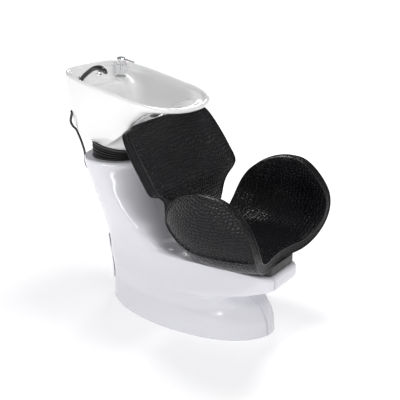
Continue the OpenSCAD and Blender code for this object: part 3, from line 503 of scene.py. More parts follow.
# ---------------- base
# rows: height, rear, front, half width, middle, front face, shoulder power, corner power, sag at the sides
SECTIONS = np.array([
    [0, 416, -392, 212, 10, 20, 0.5, 6, 0],
    [45, 412, -389, 213, 10, 20, 0.5, 6, 0],
    [90, 411, -374, 208, 18, 24, 0.5, 6, 4],
    [130, 413, -348, 201, 30, 30, 0.5, 6, 12],
    [165, 417, -314, 199, 45, 60, 0.5, 6, 28],
    [195, 421, -286, 197.5, 60, 87, 0.5, 6, 48],
    [212, 424, -300, 196, 70, 84, 0.5, 6, 58],
    [225, 427, -345, 194.5, 78, 92, 0.7, 7, 62],
    [233, 429, -402, 192.5, 85, 104, 1, 9, 58],
    [238, 430, -436, 190, 90, 110, 1, 10, 46],
    [246, 432, -449, 186, 95, 113, 1, 11, 30],
    [262, 436, -452, 181, 100, 114, 1, 11, 12],
    [283, 441, -451, 178.3, 106, 114, 1, 11, 3],
    [294, 444, -445, 176.8, 110, 113, 1, 11, -2],
    [299, 445.4, -431, 176, 112, 112, 1, 10, -8],
    [300, 445.8, -330, 175.8, 114, 118, 1, 9, -10],
    [301, 446.2, -190, 175, 117, 134, 1, 7, -13],
    [303, 447, -70, 174, 122, 142, 1, 6, -18],
    [311, 450, -2, 172.3, 132, 143, 1, 5.5, -24],
    [332, 458, 42, 168, 158, 138, 1, 5, -26],
    [370, 470, 88, 162.5, 200, 130, 1, 4.5, -16],
    [420, 488, 138, 160, 252, 118, 1, 4, -6],
    [475, 506, 186, 158, 303, 98, 0.9, 3.6, 0],
    [530, 524, 221, 157, 345, 70, 0.7, 3.2, 0],
    [580, 540, 238, 157, 376, 35, 0.5, 3.2, 0],
    [612, 550, 243, 157, 392, 8, 0.5, 4, 0],
    [627, 553, 245, 156, 395, 0, 0.5, 12, 0],
    [634, 548, 250, 151, 396, 0, 0.5, 12, 0],
    [635, 536, 262, 140, 396, 0, 0.5, 12, 0],
    [635, 509, 281, 114, 395, 0, 0.5, 12, 0]])


def section_ring(q, a):
    """Points of one section of the base; a is in radians."""
    z0, rear, front, half, mid, face, shoulder, corner, sag = q
    s = np.abs(np.sin(a)) ** (1 - 0.4 * clamp01(face / 90))
    back = a <= PI
    c = np.cos(a)
    fh = face + (half - face) * np.maximum(0, 1 - s * s) ** shoulder
    fh = fh * np.maximum(0, 1 - s ** corner) ** (1 / corner)
    x = np.where(back, half * c, sgn(c) * np.where(np.abs(c) < 1e-6, 0, fh))
    y = np.where(back, mid + (rear - mid) * np.sin(a), mid - (mid - front) * s)
    z = z0 - sag * np.where(back, 1 - np.sin(a) ** 2, 1 - s ** 4)
    return np.stack([x, y, np.maximum(0, z)], -1)


def base_body():
    near_front = np.radians([0.4, 1.2, 2.5, 4, 6, 8.5, 12, 16, 20.5])
    even = np.linspace(0, 2 * PI, 120, endpoint=False)
    a = np.unique(np.r_[even, 1.5 * PI - near_front, 1.5 * PI + near_front])
    step = np.diff(SECTIONS[:, [0, 1, 2, 3, 5]], axis=0) * [1, 1, 0.8, 1, 0.5]
    s = np.r_[0, np.cumsum(np.linalg.norm(step, axis=1))]
    q = np.concatenate([np.linspace(s[i], s[i + 1], max(3, int((s[i + 1] - s[i]) / 9)), endpoint=False)
                        for i in range(len(s) - 1)] + [[s[-1]]])
    rows = monotone(s, SECTIONS, q)
    pts = np.array([section_ring(r, a) for r in rows])
    obj = add_mesh("base_moulding", pts.reshape(-1, 3), lattice(len(rows), len(a)), MAT["white_gelcoat"])
    thicken(obj, 0.005)
    place(obj, "base", "white_gelcoat", "base_shell")


base_body()

# ---------------- service panel
def service_panel():
    """Curved cover over the opening at the back, with rounded corners and edges."""
    half_w, low, high, r = 92.0, 72.0, 276.0, 16.0
    mid_z, half_h = (low + high) / 2, (high - low) / 2
    edge = np.array([0, 0.4, 1.2, 2.4, 4.0, 7.0, 11.0, 16.0])

    def stations(half):
        inner = np.linspace(-(half - r), half - r, 15)[1:-1]
        return np.r_[-half + edge, inner, half - edge[::-1]]

    def into_corner(v, half):
        return sgn(v) * np.maximum(0, np.abs(v) - (half - r)) / r

    X, Z = np.meshgrid(stations(half_w), stations(half_h), indexing="ij")
    a, b = into_corner(X, half_w), into_corner(Z, half_h)
    x = np.where(a * b != 0, X - r * a * (1 - np.sqrt(1 - b * b / 2)), X)
    z = np.where(a * b != 0, Z - r * b * (1 - np.sqrt(1 - a * a / 2)), Z)
    inset = np.minimum(half_w - np.abs(X), half_h - np.abs(Z))
    depth = 5.2 - 3.0 * (1 - np.minimum(inset / 4.0, 1)) ** 2
    rows = monotone(SECTIONS[:25, 0], SECTIONS[:25], (z + mid_z).ravel())
    depth = depth.ravel()
    c = x.ravel() / (rows[:, 3] + depth)
    y = rows[:, 4] + (rows[:, 1] + depth - rows[:, 4]) * np.sqrt(1 - c * c)
    pts = np.stack([x.ravel(), y, (z + mid_z).ravel()], -1)
    m, n = X.shape
    obj = add_mesh("service_cover", pts, flipped(lattice(m, n, wrap_n=False)), MAT["white_gelcoat"])
    thicken(obj, 0.0018)
    place(obj, "base", "white_gelcoat", "service_panel")


service_panel()

# ---------------- bowl
NECK_Y, DRAIN_Y, DRAIN_R, DRAIN_Z = 395.0, 345.0, 23.5, 738.0
FOOT_Z, FOOT_R, FOOT_LEAN = 697.0, 115.0, math.radians(10.5)
RIM_MID, RIM_BACK, RIM_FRONT, RIM_HALF, RIM_Z0, RIM_Z1 = 147.0, 564.0, -24.0, 209.0, 898.0, 1013.0
MIXER_AT, MIXER_LEAN = (125.0, 488.0, 950.0), math.radians(8)
HOLDER_AT = (-142.0, 488.0, 949.0)
BOWL_WALL, LEAST_WALL = 11.0, 9.0
# outlines of skirt and basin: shares of the way out and up, from the foot or the drain to the rim
OUT_BACK = [[0, 0], [0.55, 0.02], [1.10, 0.30], [1, 0.93]]
OUT_SIDE = [[0, 0], [0.36, 0.16], [0.86, 0.42], [0.99, 0.89]]
OUT_FRONT = [[0, 0], [0.20, 0.62], [0.42, 0.94], [0.985, 0.92]]
IN_BACK = [[0.896, 0.949], [0.864, 0.862], [0.826, 0.796], [0.760, 0.764], [0.635, 0.753], [0.471, 0.745],
           [0.373, 0.724], [0.313, 0.655], [0.286, 0.516], [0.270, 0.371], [0.237, 0.225], [0.183, 0.098],
           [0.128, 0.022], [0.052, 0]]
IN_SIDE = [[0.90, 0.93], [0.88, 0.87], [0.86, 0.80], [0.835, 0.71], [0.80, 0.62], [0.76, 0.53], [0.71, 0.44],
           [0.65, 0.35], [0.57, 0.26], [0.48, 0.18], [0.38, 0.11], [0.27, 0.06], [0.16, 0.02], [0.052, 0]]
IN_FRONT = [[0.919, 0.912], [0.844, 0.90], [0.757, 0.881], [0.67, 0.844], [0.583, 0.78], [0.496, 0.69],
            [0.424, 0.575], [0.352, 0.44], [0.294, 0.325], [0.236, 0.22], [0.178, 0.13], [0.12, 0.062],
            [0.077, 0.02], [0.04, 0]]
# rows: share of the lip's width in from the rim, height over the rim
LIP = [[0, -11], [0.08, -4], [0.36, 0], [0.66, -1], [0.88, -6], [1, -13]]


def foot_plane(y):
    """Height of the bowl's sloping foot."""
    return FOOT_Z + (y - NECK_Y) * math.tan(FOOT_LEAN)


def rim_xy(a):
    s, c = np.sin(a), np.cos(a)
    back = s > 0
    e = np.where(back, mix(0.91, 0.48, ease(0, 0.3, s)), 0.91)
    y = RIM_MID + np.where(back, RIM_BACK - RIM_MID, RIM_FRONT - RIM_MID) * np.abs(s) ** e
    w = RIM_HALF * (1 + 0.10 * clamp01((y - RIM_MID) / (RIM_BACK - RIM_MID)))
    return np.stack([w * sgn(c) * np.where(np.abs(c) < 1e-9, 0, np.abs(c)) ** e, y], -1)


def rim_pt(a):
    p = rim_xy(a)
    z = RIM_Z0 + (RIM_Z1 - RIM_Z0) * clamp01((p[:, 1] - RIM_FRONT) / (RIM_BACK - RIM_FRONT)) ** 0.9
    return np.c_[p, z]


def rim_in(a):
    t = unit(rim_xy(a + math.radians(2)) - rim_xy(a - math.radians(2)))
    return np.c_[-t[:, 1], t[:, 0], np.zeros(len(a))]


# how far a point at angle a belongs to the back, the front and the deck
def w_back(a):
    return ease(0, 0.5, np.sin(a))[:, None]


def w_front(a):
    return ease(0, 0.9, -np.sin(a))[:, None]


def w_deck(a):
    return ease(0.45, 0.8, np.sin(a))[:, None]


def blend3(side, front, back, a, wb):
    """Side, front and back values blended round the bowl; wb is the share of the back."""
    return mix(mix(np.array(side, float), np.array(front, float), w_front(a)), np.array(back, float), wb)


def out_pt(a, t):
    """Skirt points at angles a, from the foot at t = 0 to the rim at t = 1."""
    k = [blend3(OUT_SIDE[i], OUT_FRONT[i], OUT_BACK[i], a, w_back(a)) for i in range(4)]
    q = (1 - t) ** 3 * k[0] + 3 * t * (1 - t) ** 2 * k[1] + 3 * t * t * (1 - t) * k[2] + t ** 3 * k[3]
    y0 = NECK_Y + FOOT_R * np.sin(a)
    foot = np.c_[FOOT_R * np.cos(a), y0, foot_plane(y0)]
    return mix(foot, rim_pt(a), q[:, [0, 0, 1]])


def drain_ring(a, z):
    return np.c_[DRAIN_R * np.cos(a), DRAIN_Y + DRAIN_R * np.sin(a), np.full(len(a), z)]


def in_pt(a, k):
    """Basin points at angles a, from the rim at k = 0 to the drain at k = 1."""
    side, front, rear = [catmull_at(section, 13 * k) for section in (IN_SIDE, IN_FRONT, IN_BACK)]
    q = blend3(side, front, rear, a, w_deck(a))
    return mix(drain_ring(a, DRAIN_Z), rim_pt(a), q[:, [0, 0, 1]])


def land(p):
    """Level lands in the deck under the mixer and the spray holder."""
    for (x, y, z), lean, r in ((MIXER_AT, MIXER_LEAN, 27), (HOLDER_AT, 0.0, 21)):
        d = np.hypot(p[:, 0] - x, p[:, 1] - y)
        w = 1 - ease(r, r + 14, d)
        p[:, 2] = mix(p[:, 2], z - 0.3 + (p[:, 1] - y) * math.tan(lean), w)
    return p


def even_angles(n):
    """Angles that space the rim's points evenly."""
    a = np.linspace(0, 2 * PI, 20001)
    d = run_along(rim_xy(a))
    return np.interp(np.linspace(0, d[-1], n, endpoint=False), d, a)


def facing(grid):
    """Unit vectors square to a closed grid of rings."""
    return unit(np.cross(np.gradient(grid, axis=0), np.roll(grid, -1, 1) - np.roll(grid, 1, 1)))


def basin_grid(a):
    """Basin rings, smoothed as glaze softens a fold, and kept a least wall inside the skirt."""
    basin = np.array([in_pt(a, k) for k in np.linspace(0, 1, 96)])
    skirt = np.array([out_pt(a, t) for t in np.linspace(0, 1, 90)])
    points, inward = skirt.reshape(-1, 3), facing(skirt).reshape(-1, 3)
    near = KDTree(len(points))
    for i, point in enumerate(points):
        near.insert(point, i)
    near.balance()
    for _ in range(8):
        for _ in range(12):
            around = np.roll(basin, 1, 1) + np.roll(basin, -1, 1)
            basin[4:-3] = 0.5 * basin[4:-3] + 0.125 * (basin[3:-4] + basin[5:-2] + around[4:-3])
        for point in basin[6:-4].reshape(-1, 3):
            k = near.find(point)[1]
            wall = np.dot(point - points[k], inward[k])
            if wall < LEAST_WALL:
                point += inward[k] * (LEAST_WALL - wall)
    return basin


def bowl_body():
    a = even_angles(224)
    rings = [out_pt(a, t) for t in np.linspace(0, 1, 40)]
    lip_w = mix(18, 26, w_front(a)[:, 0])[:, None]
    for q in catmull(LIP, 4):
        rings.append(rim_pt(a) + lip_w * q[0] * rim_in(a) + [0, 0, q[1]])
    basin = basin_grid(a)
    rings += [land(row) for row in basin]
    rings += [drain_ring(a, DRAIN_Z - drop) for drop in (0, 6, 12)]
    # underside of the basin and inside of the skirt, seen only through the foot
    under = basin + BOWL_WALL * facing(basin)
    column = np.arange(len(a))
    for i in range(8):
        row = mix(0.97, mix(0.60, 0.86, w_front(a)[:, 0]), i / 7) * (len(basin) - 1)
        first = np.floor(row).astype(int)
        rings.append(mix(under[first, column], under[first + 1, column], (row - first)[:, None]))
    for i in range(8):
        t = mix(0.40, 0.0, i / 7)
        p = out_pt(a, t * (1 - 0.8 * w_front(a).mean()))
        p = p + 10 * unit(([0, NECK_Y, 0] - p) * [1, 1, 0])
        p[:, 2] = np.maximum(p[:, 2], foot_plane(p[:, 1]))
        rings.append(p)
    pts = np.array(rings)
    faces = lattice(len(rings), len(a), wrap_m=True)
    obj = add_mesh("ceramic_bowl", pts.reshape(-1, 3), faces, MAT["white_ceramic"])
    place(obj, "bowl", "white_ceramic", "bowl")


bowl_body()


def bellows():
    """Pleated rubber sleeve between the level base top and the sloping foot."""
    pleats, z0 = 4, 636.0
    prof = [(106.5, 0, 0), (121.0, 0, 0), (121.3, 0, 1.2), (120, 0, 2.4), (111, 0, 3.2)]
    for i in range(pleats):
        for k in range(1, 13):
            f = (i + k / 12) / pleats
            r = 109.5 + 10.5 * math.sin(PI * k / 12) ** 0.75 if k < 12 else 109.5
            prof.append((r, f, 0))
    prof += [(119.0, 1, 1.5), (120, 1, 2.5), (120, 1, 9.5), (119, 1, 10.5), (114, 1, 10.8), (113.4, 1, 10),
             (113.4, 1, 1), (106.5, 1, -1), (106.5, 0.5, 0)]
    n = 144
    a = np.arange(n) * 2 * PI / n
    rings = []
    for r, f, dz in prof:
        y = NECK_Y + r * np.sin(a)
        rings.append(np.c_[r * np.cos(a), y, mix(z0, foot_plane(y) - 12, f) + dz])
    faces = lattice(len(rings), n, wrap_m=True)
    obj = add_mesh("rubber_bellows", np.array(rings).reshape(-1, 3), faces, MAT["black_rubber"])
    place_blended(obj, "bellows")


bellows()

# ---------------- hoses
def supply_hose(name, node, route):
    """Braided hose of 10 mm along a route."""
    pts, faces = tube_mesh(catmull(route, 6), 5.0)
    obj = add_mesh(name, pts, faces, MAT["braided_steel"])
    place_blended(obj, node)


supply_hose("hot_supply", "hot_hose", [
    [118, 491, 912], [116, 491, 880], [97, 489, 820], [62, 483, 760], [34, 472, 712], [26, 468, 680],
    [26, 466, 640], [28, 458, 600], [42, 434, 530], [58, 404, 410], [61, 378, 270], [60, 362, 140],
    [60, 360, 73]])
supply_hose("cold_supply", "cold_hose", [
    [133, 491, 912], [132, 491, 880], [118, 488, 820], [88, 479, 760], [56, 468, 712], [44, 460, 680],
    [42, 460, 640], [36, 442, 600], [6, 416, 530], [-36, 390, 410], [-56, 374, 270], [-60, 362, 140],
    [-60, 360, 73]])
supply_hose("mixed_supply", "mix_hose", [
    [126, 478, 912], [124, 477, 880], [102, 470, 812], [56, 464, 756], [12, 460, 714], [-6, 460, 680],
    [-10, 462, 640], [-24, 458, 600], [-56, 432, 520], [-80, 400, 450], [-92, 378, 395], [-93, 375, 345],
    [-93, 363, 317], [-92, 335, 305], [-92, 307, 317], [-92, 295, 345], [-92, 295, 398]])


def waste_pipe():
    """Ribbed waste hose with a trap."""
    line = resample(catmull([[0, 345, 653], [0, 345, 615], [0, 342, 540], [0, 330, 440], [0, 308, 330],
                             [0, 286, 270], [0, 269, 215], [0, 264, 165], [0, 264, 140], [0, 272, 122],
                             [0, 290, 114], [0, 308, 122], [0, 316, 140], [0, 316, 180], [0, 324, 198],
                             [0, 342, 206], [0, 360, 198], [0, 368, 180], [0, 368, 100]], 10), 2.0)
    r = 16.2 + 0.9 * np.sin(np.arange(len(line)) * 2 * PI / 4)
    pts, faces = tube_mesh(line, r, 20, up=(1, 0, 0))
    obj = add_mesh("ribbed_waste", pts, faces, MAT["grey_pvc"])
    place_blended(obj, "waste_hose")


waste_pipe()

SPRAY_ROUTE = [[-142, 487, 957], [-142, 491, 945], [-142, 491, 925], [-147, 487, 902], [-162, 481, 886],
               [-175, 477, 871], [-182.5, 478.5, 858], [-190, 480, 845], [-197, 483, 826], [-196, 488, 803],
               [-177, 496, 779], [-150, 506, 758], [-125, 518, 728], [-101, 530, 696], [-80, 541, 664],
               [-60, 553, 633], [-49, 563, 610], [-46, 566, 588], [-46.5, 560, 565], [-48, 544, 549],
               [-50, 523, 543], [-50, 505, 543], [-55, 480, 540], [-68, 440, 529], [-80, 400, 516],
               [-88, 365, 506], [-91, 339, 499], [-92, 316, 487], [-92, 301, 466], [-92, 295, 441]]


def spray_hose():
    line = resample(catmull(SPRAY_ROUTE, 8), 4.0)
    pts, faces = tube_mesh(line, 5.5, 16)
    obj = add_mesh("spray_tube", pts, faces, MAT["hose_rubber"])
    place_blended(obj, "spray_hose")


spray_hose()

# ---------------- hand spray
SPRAY_FOOT = np.array([-142.0, 485.0, 960.0])
SPRAY_SLANT = math.radians(40)


def along_spray(d):
    return SPRAY_FOOT + d * np.array([0, -math.cos(SPRAY_SLANT), math.sin(SPRAY_SLANT)])


def spray_handle():
    """Curved grip, waisted above the collar and full at the head."""
    bend = ((423, 1009), (392, 1026), (364, 1032), (341, 1027), (327, 1015))
    pts = [along_spray(22.3), along_spray(45)] + [[SPRAY_FOOT[0], y, z] for y, z in bend]
    line = catmull(pts, 8)
    radii = catmull([[7.8], [9.5], [10.5], [11.5], [12.5], [12], [7]], 8)[:, 0]
    n = 28
    t = unit(np.gradient(line, axis=0))
    across = np.array([1.0, 0, 0])
    f = ease(0, 3, np.linspace(0, 6, len(line)))
    a = np.arange(n) * 2 * PI / n
    c, s = np.cos(a)[:, None], np.sin(a)[:, None]
    rings = [p + r * (c * mix(1, 1.12, k) * across + s * mix(1, 0.85, k) * np.cross(along, across))
             for p, r, k, along in zip(line, radii, f, t)]
    last = rings[-1] - line[-1]
    for grow, push in ((0.86, 2.0), (0.60, 3.6), (0.25, 4.6)):
        rings.append(line[-1] + t[-1] * push + last * grow)
    faces = lattice(len(rings), n) + end_caps(len(rings), n)
    obj = add_mesh("spray_grip", np.array(rings).reshape(-1, 3), faces, MAT["black_plastic"])
    place(obj, "hand_spray", "black_plastic", "spray_handle")


spray_handle()

# ---------------- mixer cap and lever
def at_mixer(p):
    """Points given about the mixer's own axis, moved to where the mixer stands on the deck."""
    c, s = math.cos(MIXER_LEAN), math.sin(MIXER_LEAN)
    return np.c_[p[:, 0], p[:, 1] * c - p[:, 2] * s, p[:, 1] * s + p[:, 2] * c] + MIXER_AT


def mixer_cap():
    """Domed cap with a tapering lever blade."""
    r = 23.0
    pts, faces = revolve_mesh([
        (18.4, 65.0), (20.6, 54.5), (21.2, 53.5), (22.4, 53.5), (r, 54.1), (r, 60), (r, 68), (r, 74),
        (22.6, 76.4), (21.4, 78.3), (19.4, 80.2), (16.5, 81.8), (12.0, 83.0), (6.0, 83.5), (0.01, 83.6)])
    # clearance behind, so that the cap can rock back when the lever is raised
    rear = np.maximum(0, 0.4 + 0.33 * pts[:, 1])
    pts[:, 2] += np.where(pts[:, 2] < 55, rear, np.where(pts[:, 2] < 64, 0.6 * rear, 0))
    obj = add_mesh("mixer_cap", at_mixer(pts), faces, MAT["chrome"])
    place(obj, "mixer_lever", "chrome", "mixer_lever")
    n = 24
    c, s = squircle(np.arange(n) * 2 * PI / n, 0.7)
    # sections of the blade: place along Y, half width, half height, height of its middle
    sections = ((-10, 9.5, 3.4, 75.5), (-18, 9.2, 3.3, 75.8), (-24, 8.8, 3.2, 76), (-36, 7.8, 2.9, 76.2),
                (-50, 7.2, 2.7, 76.2), (-64, 7.0, 2.6, 76.0), (-72, 6.8, 2.5, 75.9), (-76, 6.0, 2.2, 75.9),
                (-77.8, 3.6, 1.4, 75.9), (-78.2, 0.6, 0.3, 75.9))
    rows = [np.c_[w * c, np.full(n, y), z + h * s] for y, w, h, z in sections]
    faces = lattice(len(rows), n) + end_caps(len(rows), n)
    blade = add_mesh("mixer_blade", at_mixer(np.vstack(rows)), faces, MAT["chrome"])
    place(blade, "mixer_lever", "chrome")


mixer_cap()

# ---------------- upholstery helpers
SEAM_R = 3.0


def piping(name, loop):
    """Piping cord in its vinyl sleeve along a closed seam."""
    pts, faces = tube_mesh(resample(loop, 5.0, closed=True), SEAM_R, closed=True)
    place(add_mesh(name, pts, faces, MAT["piping"]), "base", "black_vinyl")


def stitches(name, loop, normals, length=4.2, gap=2.6, radius=0.45):
    """Row of lockstitches: short humped threads that dip into the vinyl at both ends."""
    p, nrm = np.vstack([loop, loop[:1]]), np.vstack([normals, normals[:1]])
    d = run_along(p)
    count = int(d[-1] / (length + gap))
    hump = np.array([-0.5, 0.35, 0.55, 0.35, -0.5])[:, None]
    verts, faces = [], []
    for i in range(count):
        at = (i + 0.5) * d[-1] / count + np.linspace(-0.5, 0.5, len(hump)) * length
        up = unit(at_distances(at, d, nrm))
        v, f = tube_mesh(at_distances(at, d, p) + up * hump, radius, 5, up=up[0] + [0.01, 0.02, 0.03])
        faces += [tuple(k + i * len(v) for k in q) for q in f]
        verts.append(v)
    place(add_mesh(name, np.vstack(verts), faces, MAT["thread"]), "base", "black_vinyl")


def rolled(inset, edge):
    """Drop of a panel's face where it rounds over within edge of its seam."""
    return edge * (1 - np.sqrt(np.maximum(0, 1 - (1 - np.minimum(inset / edge, 1)) ** 2)))


# ---------------- seat
SEAT_Z, SEAT_T, BEND_R, WING = 361.0, 42.0, 163.0, math.radians(97)
SEAT_HALF, SEAT_DEPTH, SEAT_POWER, SEAT_RISE = 556.0, 174.0, 2.4, 37.0
SEAT_N = 220


def seat_reach(S, U):
    """Distance from the seat's middle line to its front or rear edge."""
    return SEAT_DEPTH + np.where(U < 0, 74, 50) * np.sin(PI * np.abs(S) ** 1.82)


def seat_xyz(S, U, o):
    """Seat shell point at S from wing tip to wing tip and U from front to rear, both -1 to 1."""
    S, U = np.asarray(S, float), np.asarray(U, float)
    A = np.minimum(np.abs(S), 0.99999)
    a = A * SEAT_HALF
    flat = 161 - np.where(U > 0, 82, 50) * U * U
    q = np.clip((a - flat) / BEND_R, 0, WING)
    l = np.maximum(0, a - flat - BEND_R * WING)
    x = np.minimum(a, flat) + BEND_R * np.sin(q) + l * math.cos(WING)
    z = SEAT_Z + BEND_R * (1 - np.cos(q)) + l * math.sin(WING) + SEAT_RISE * np.maximum(U, 0) ** 2
    y = -252 - 46 * A * A + seat_reach(A, U) * U
    return np.stack([sgn(S) * (x - o * np.sin(q)), y, z + o * np.cos(q)], -1)


def seat_outline(phi):
    return squircle(phi, 2 / SEAT_POWER)


def even_seat_angles(n):
    """Angles that space the outline's points evenly."""
    phi = np.linspace(0, 2 * PI, 8001)
    d = run_along(seat_xyz(*seat_outline(phi), 0))
    return np.interp(np.linspace(0, d[-1], n, endpoint=False), d, phi)


EDGE_S, EDGE_U = seat_outline(even_seat_angles(SEAT_N))
# distance from the middle of the seat to its edge along the surface
EDGE_R = np.hypot(SEAT_HALF * EDGE_S, seat_reach(EDGE_S, EDGE_U) * EDGE_U)


def seat_ring(inset, o):
    """Ring of seat points, inset from the outline and o over the middle layer."""
    k = 1 - inset / EDGE_R
    return seat_xyz(EDGE_S * k, EDGE_U * k, o)


def seat_uv(inset):
    """The same ring on the flat panel, in metres."""
    k = 1 - inset / EDGE_R
    S, U = EDGE_S * k, EDGE_U * k
    return np.stack([S * SEAT_HALF, seat_reach(S, U) * U], -1) * MM


def face_height(inset, side):
    """Height of a stuffed face over the middle layer: turned down at its seam, full towards the middle."""
    inset = np.minimum(inset, EDGE_R)
    rise = 6.5 if side > 0 else 3.0
    full = rise * (1 - (1 - np.minimum(inset / 70.0, 1)) ** 2.2)
    return side * (SEAT_T / 2 - 3.5 + full - rolled(inset, 5.0))


def seat_face(name, side, node):
    """Inner cushion (side 1) or outer cover (side -1)."""
    insets = [0, 0.8, 2, 3.5, 5.5, 8, 11, 15, 20, 26, 33, 41, 50, 62, 76, 92, 110]
    insets += [110 + (EDGE_R - 110) * f for f in np.linspace(0.06, 0.98, 14)]
    m, n = len(insets), SEAT_N
    mid = seat_xyz(0, 0, face_height(EDGE_R, side)[0])
    # the panel's own edge turns in towards the middle layer, so it has thickness
    turned = seat_ring(6.0, side * (SEAT_T / 2 - 12.0))
    pts = np.vstack([seat_ring(inset, face_height(inset, side)) for inset in insets] + [mid, turned])
    uv = np.vstack([seat_uv(inset) for inset in insets] + [[0, 0], seat_uv(6.0)])
    nxt = [(j + 1) % n for j in range(n)]
    faces = lattice(m, n) + [((m - 1) * n + j, (m - 1) * n + nxt[j], m * n) for j in range(n)]
    faces += [(m * n + 1 + j, m * n + 1 + nxt[j], nxt[j], j) for j in range(n)]
    obj = add_mesh(name, pts, faces if side > 0 else flipped(faces), MAT["black_vinyl"], uv)
    return place(obj, "base", "black_vinyl", node)


def seat_band():
    """Boxing band round the rim, between the two piped seams."""
    half = SEAT_T / 2
    levels = np.linspace(-1, 1, 13)
    run = run_along(seat_ring(0, 0))
    pts = np.vstack([seat_ring(2.0 - 2.2 * (1 - f ** 2), f * (half - 3.8)) for f in levels])
    uv = np.vstack([np.stack([run, np.full(SEAT_N, f * half)], -1) for f in levels]) * MM
    obj = add_mesh("seat_boxing", pts, lattice(len(levels), SEAT_N), MAT["fine_vinyl"], uv)
    place(obj, "base", "black_vinyl")


seat_face("seat_cushion", 1, "seat_padding")
seat_face("seat_outer_cover", -1, "seat_cover")
seat_band()
for side, tag in ((1, "inner"), (-1, "outer")):
    piping("seat_piping_" + tag, seat_ring(1.2, side * (SEAT_T / 2 - 3.6)))
for side, tag in ((1, "inner"), (-1, "outer")):
    seam = seat_ring(9.0, face_height(9.0, side))
    lifted = seat_ring(9.0, side * (SEAT_T / 2 - 3.5 + 20))
    stitches("seat_stitch_" + tag, seam, unit(lifted - seam))


def seat_seams():
    """Piped seam across the fold under each wing."""
    U = np.linspace(-0.885, 0.885, 60)
    for s, tag in ((-1, "right"), (1, "left")):
        line = seat_xyz(s * (0.603 - 0.07 * U * U), U, -SEAT_T / 2 - 2.5)
        pts, faces = tube_mesh(resample(line, 5.0), 2.6, 10)
        place(add_mesh("wing_seam_" + tag, pts, faces, MAT["piping"]), "base", "black_vinyl")


seat_seams()

# ---------------- seat riser
def riser_block():
    """Moulded block in the CAD riser's box, with rounded upright corners and softened edges."""
    lo, hi = [np.array(corner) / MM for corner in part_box("seat_riser")]
    mid, half = (lo + hi) / 2, (hi - lo) / 2
    n = 64
    c, s = squircle(np.arange(n) * 2 * PI / n, 0.16)
    levels = ((lo[2], 1.5), (lo[2] + 0.6, 0.4), (lo[2] + 1.8, 0),
              (hi[2] - 2.5, 0), (hi[2] - 0.8, 0.7), (hi[2], 2.5))
    rows = [np.c_[mid[0] + (half[0] - inset) * c, mid[1] + (half[1] - inset) * s, np.full(n, z)]
            for z, inset in levels]
    faces = lattice(len(rows), n) + end_caps(len(rows), n)
    obj = add_mesh("riser_block", np.vstack(rows), faces, MAT["black_rubber"])
    place(obj, "base", "black_rubber", "seat_riser")


riser_block()

# ---------------- backrest
BACK_T = 54.0
# rows: front face's y and z, half width
BACK_ROWS = [
    [-8, 402, 110], [-14, 416, 142], [-21, 446, 160], [-27, 490, 168], [-30, 535, 177], [-28, 567, 202],
    [-24, 591, 240], [-16, 612, 266], [-2, 636, 275], [22, 671, 275], [50, 712, 275], [78, 752, 272],
    [104, 790, 266], [124, 820, 256], [134, 835, 243], [139, 842, 216]]
BACK_TOP = len(BACK_ROWS) - 1


def back_xyz(h, u, o, inset=0.0):
    """Backrest point: row h, u from -1 to 1 across, o behind the front face, inset in from the sides."""
    q = catmull_at(BACK_ROWS, h)
    t = catmull_at(BACK_ROWS, min(BACK_TOP, h + 0.1)) - catmull_at(BACK_ROWS, max(0, h - 0.1))
    t = t[:2] / np.linalg.norm(t[:2])
    x = (q[2] - inset) * np.asarray(u, float)
    c = 22 * (x / 270) ** 2
    return np.stack([x, q[0] - c + t[1] * o, q[1] - t[0] * o + 0 * x], -1)


BACK_HS = np.linspace(0, BACK_TOP, 76)
BACK_US = np.sin(np.linspace(-PI / 2, PI / 2, 49))
# distance up the middle of the backrest and half width at each row
BACK_RUN = run_along(np.array([back_xyz(h, 0.0, 0) for h in BACK_HS]))
BACK_W = np.array([catmull_at(BACK_ROWS, h)[2] for h in BACK_HS])


def back_face(name, front, node):
    """Front cushion or rear cover, with the panel's edge turned in."""
    m, n = len(BACK_HS), len(BACK_US)
    pts, uv = [], []
    for h, w, run in zip(BACK_HS, BACK_W, BACK_RUN):
        d = np.minimum(w * (1 - np.abs(BACK_US)), min(run, BACK_RUN[-1] - run))
        full = 1 - (1 - np.minimum(d / 80.0, 1)) ** 2.0
        o = 3.5 + rolled(d, 5.0) - 6.0 * full if front else BACK_T - 3.5 - rolled(d, 5.0) + 3.0 * full
        pts.append(back_xyz(h, BACK_US, o))
        uv.append(np.stack([BACK_US * w, np.full(n, run)], -1) * MM)
    loop = edge_loop(m, n)
    for k in loop:
        i, j = divmod(k, n)
        shrink = min(0.96, 1 - 7.0 / BACK_W[i])
        h = min(max(BACK_HS[i], 0.25), BACK_TOP - 0.6)
        pts.append(back_xyz(h, BACK_US[j] * shrink, 12.0 if front else BACK_T - 12.0))
    uv = np.vstack(uv)
    c = len(loop)
    rim = [(m * n + k, m * n + (k + 1) % c, loop[(k + 1) % c], loop[k]) for k in range(c)]
    faces = lattice(m, n, wrap_n=False) + rim
    if not front:
        faces = flipped(faces)
    obj = add_mesh(name, np.vstack(pts), faces, MAT["black_vinyl"], np.vstack([uv, uv[loop]]))
    return place(obj, "base", "black_vinyl", node)


def edge_loop(m, n):
    """Grid indices round the edge of an m by n grid, in order."""
    loop = list(range(n))
    loop += [i * n + n - 1 for i in range(1, m)]
    loop += [(m - 1) * n + j for j in range(n - 2, -1, -1)]
    loop += [i * n for i in range(m - 2, 0, -1)]
    return loop


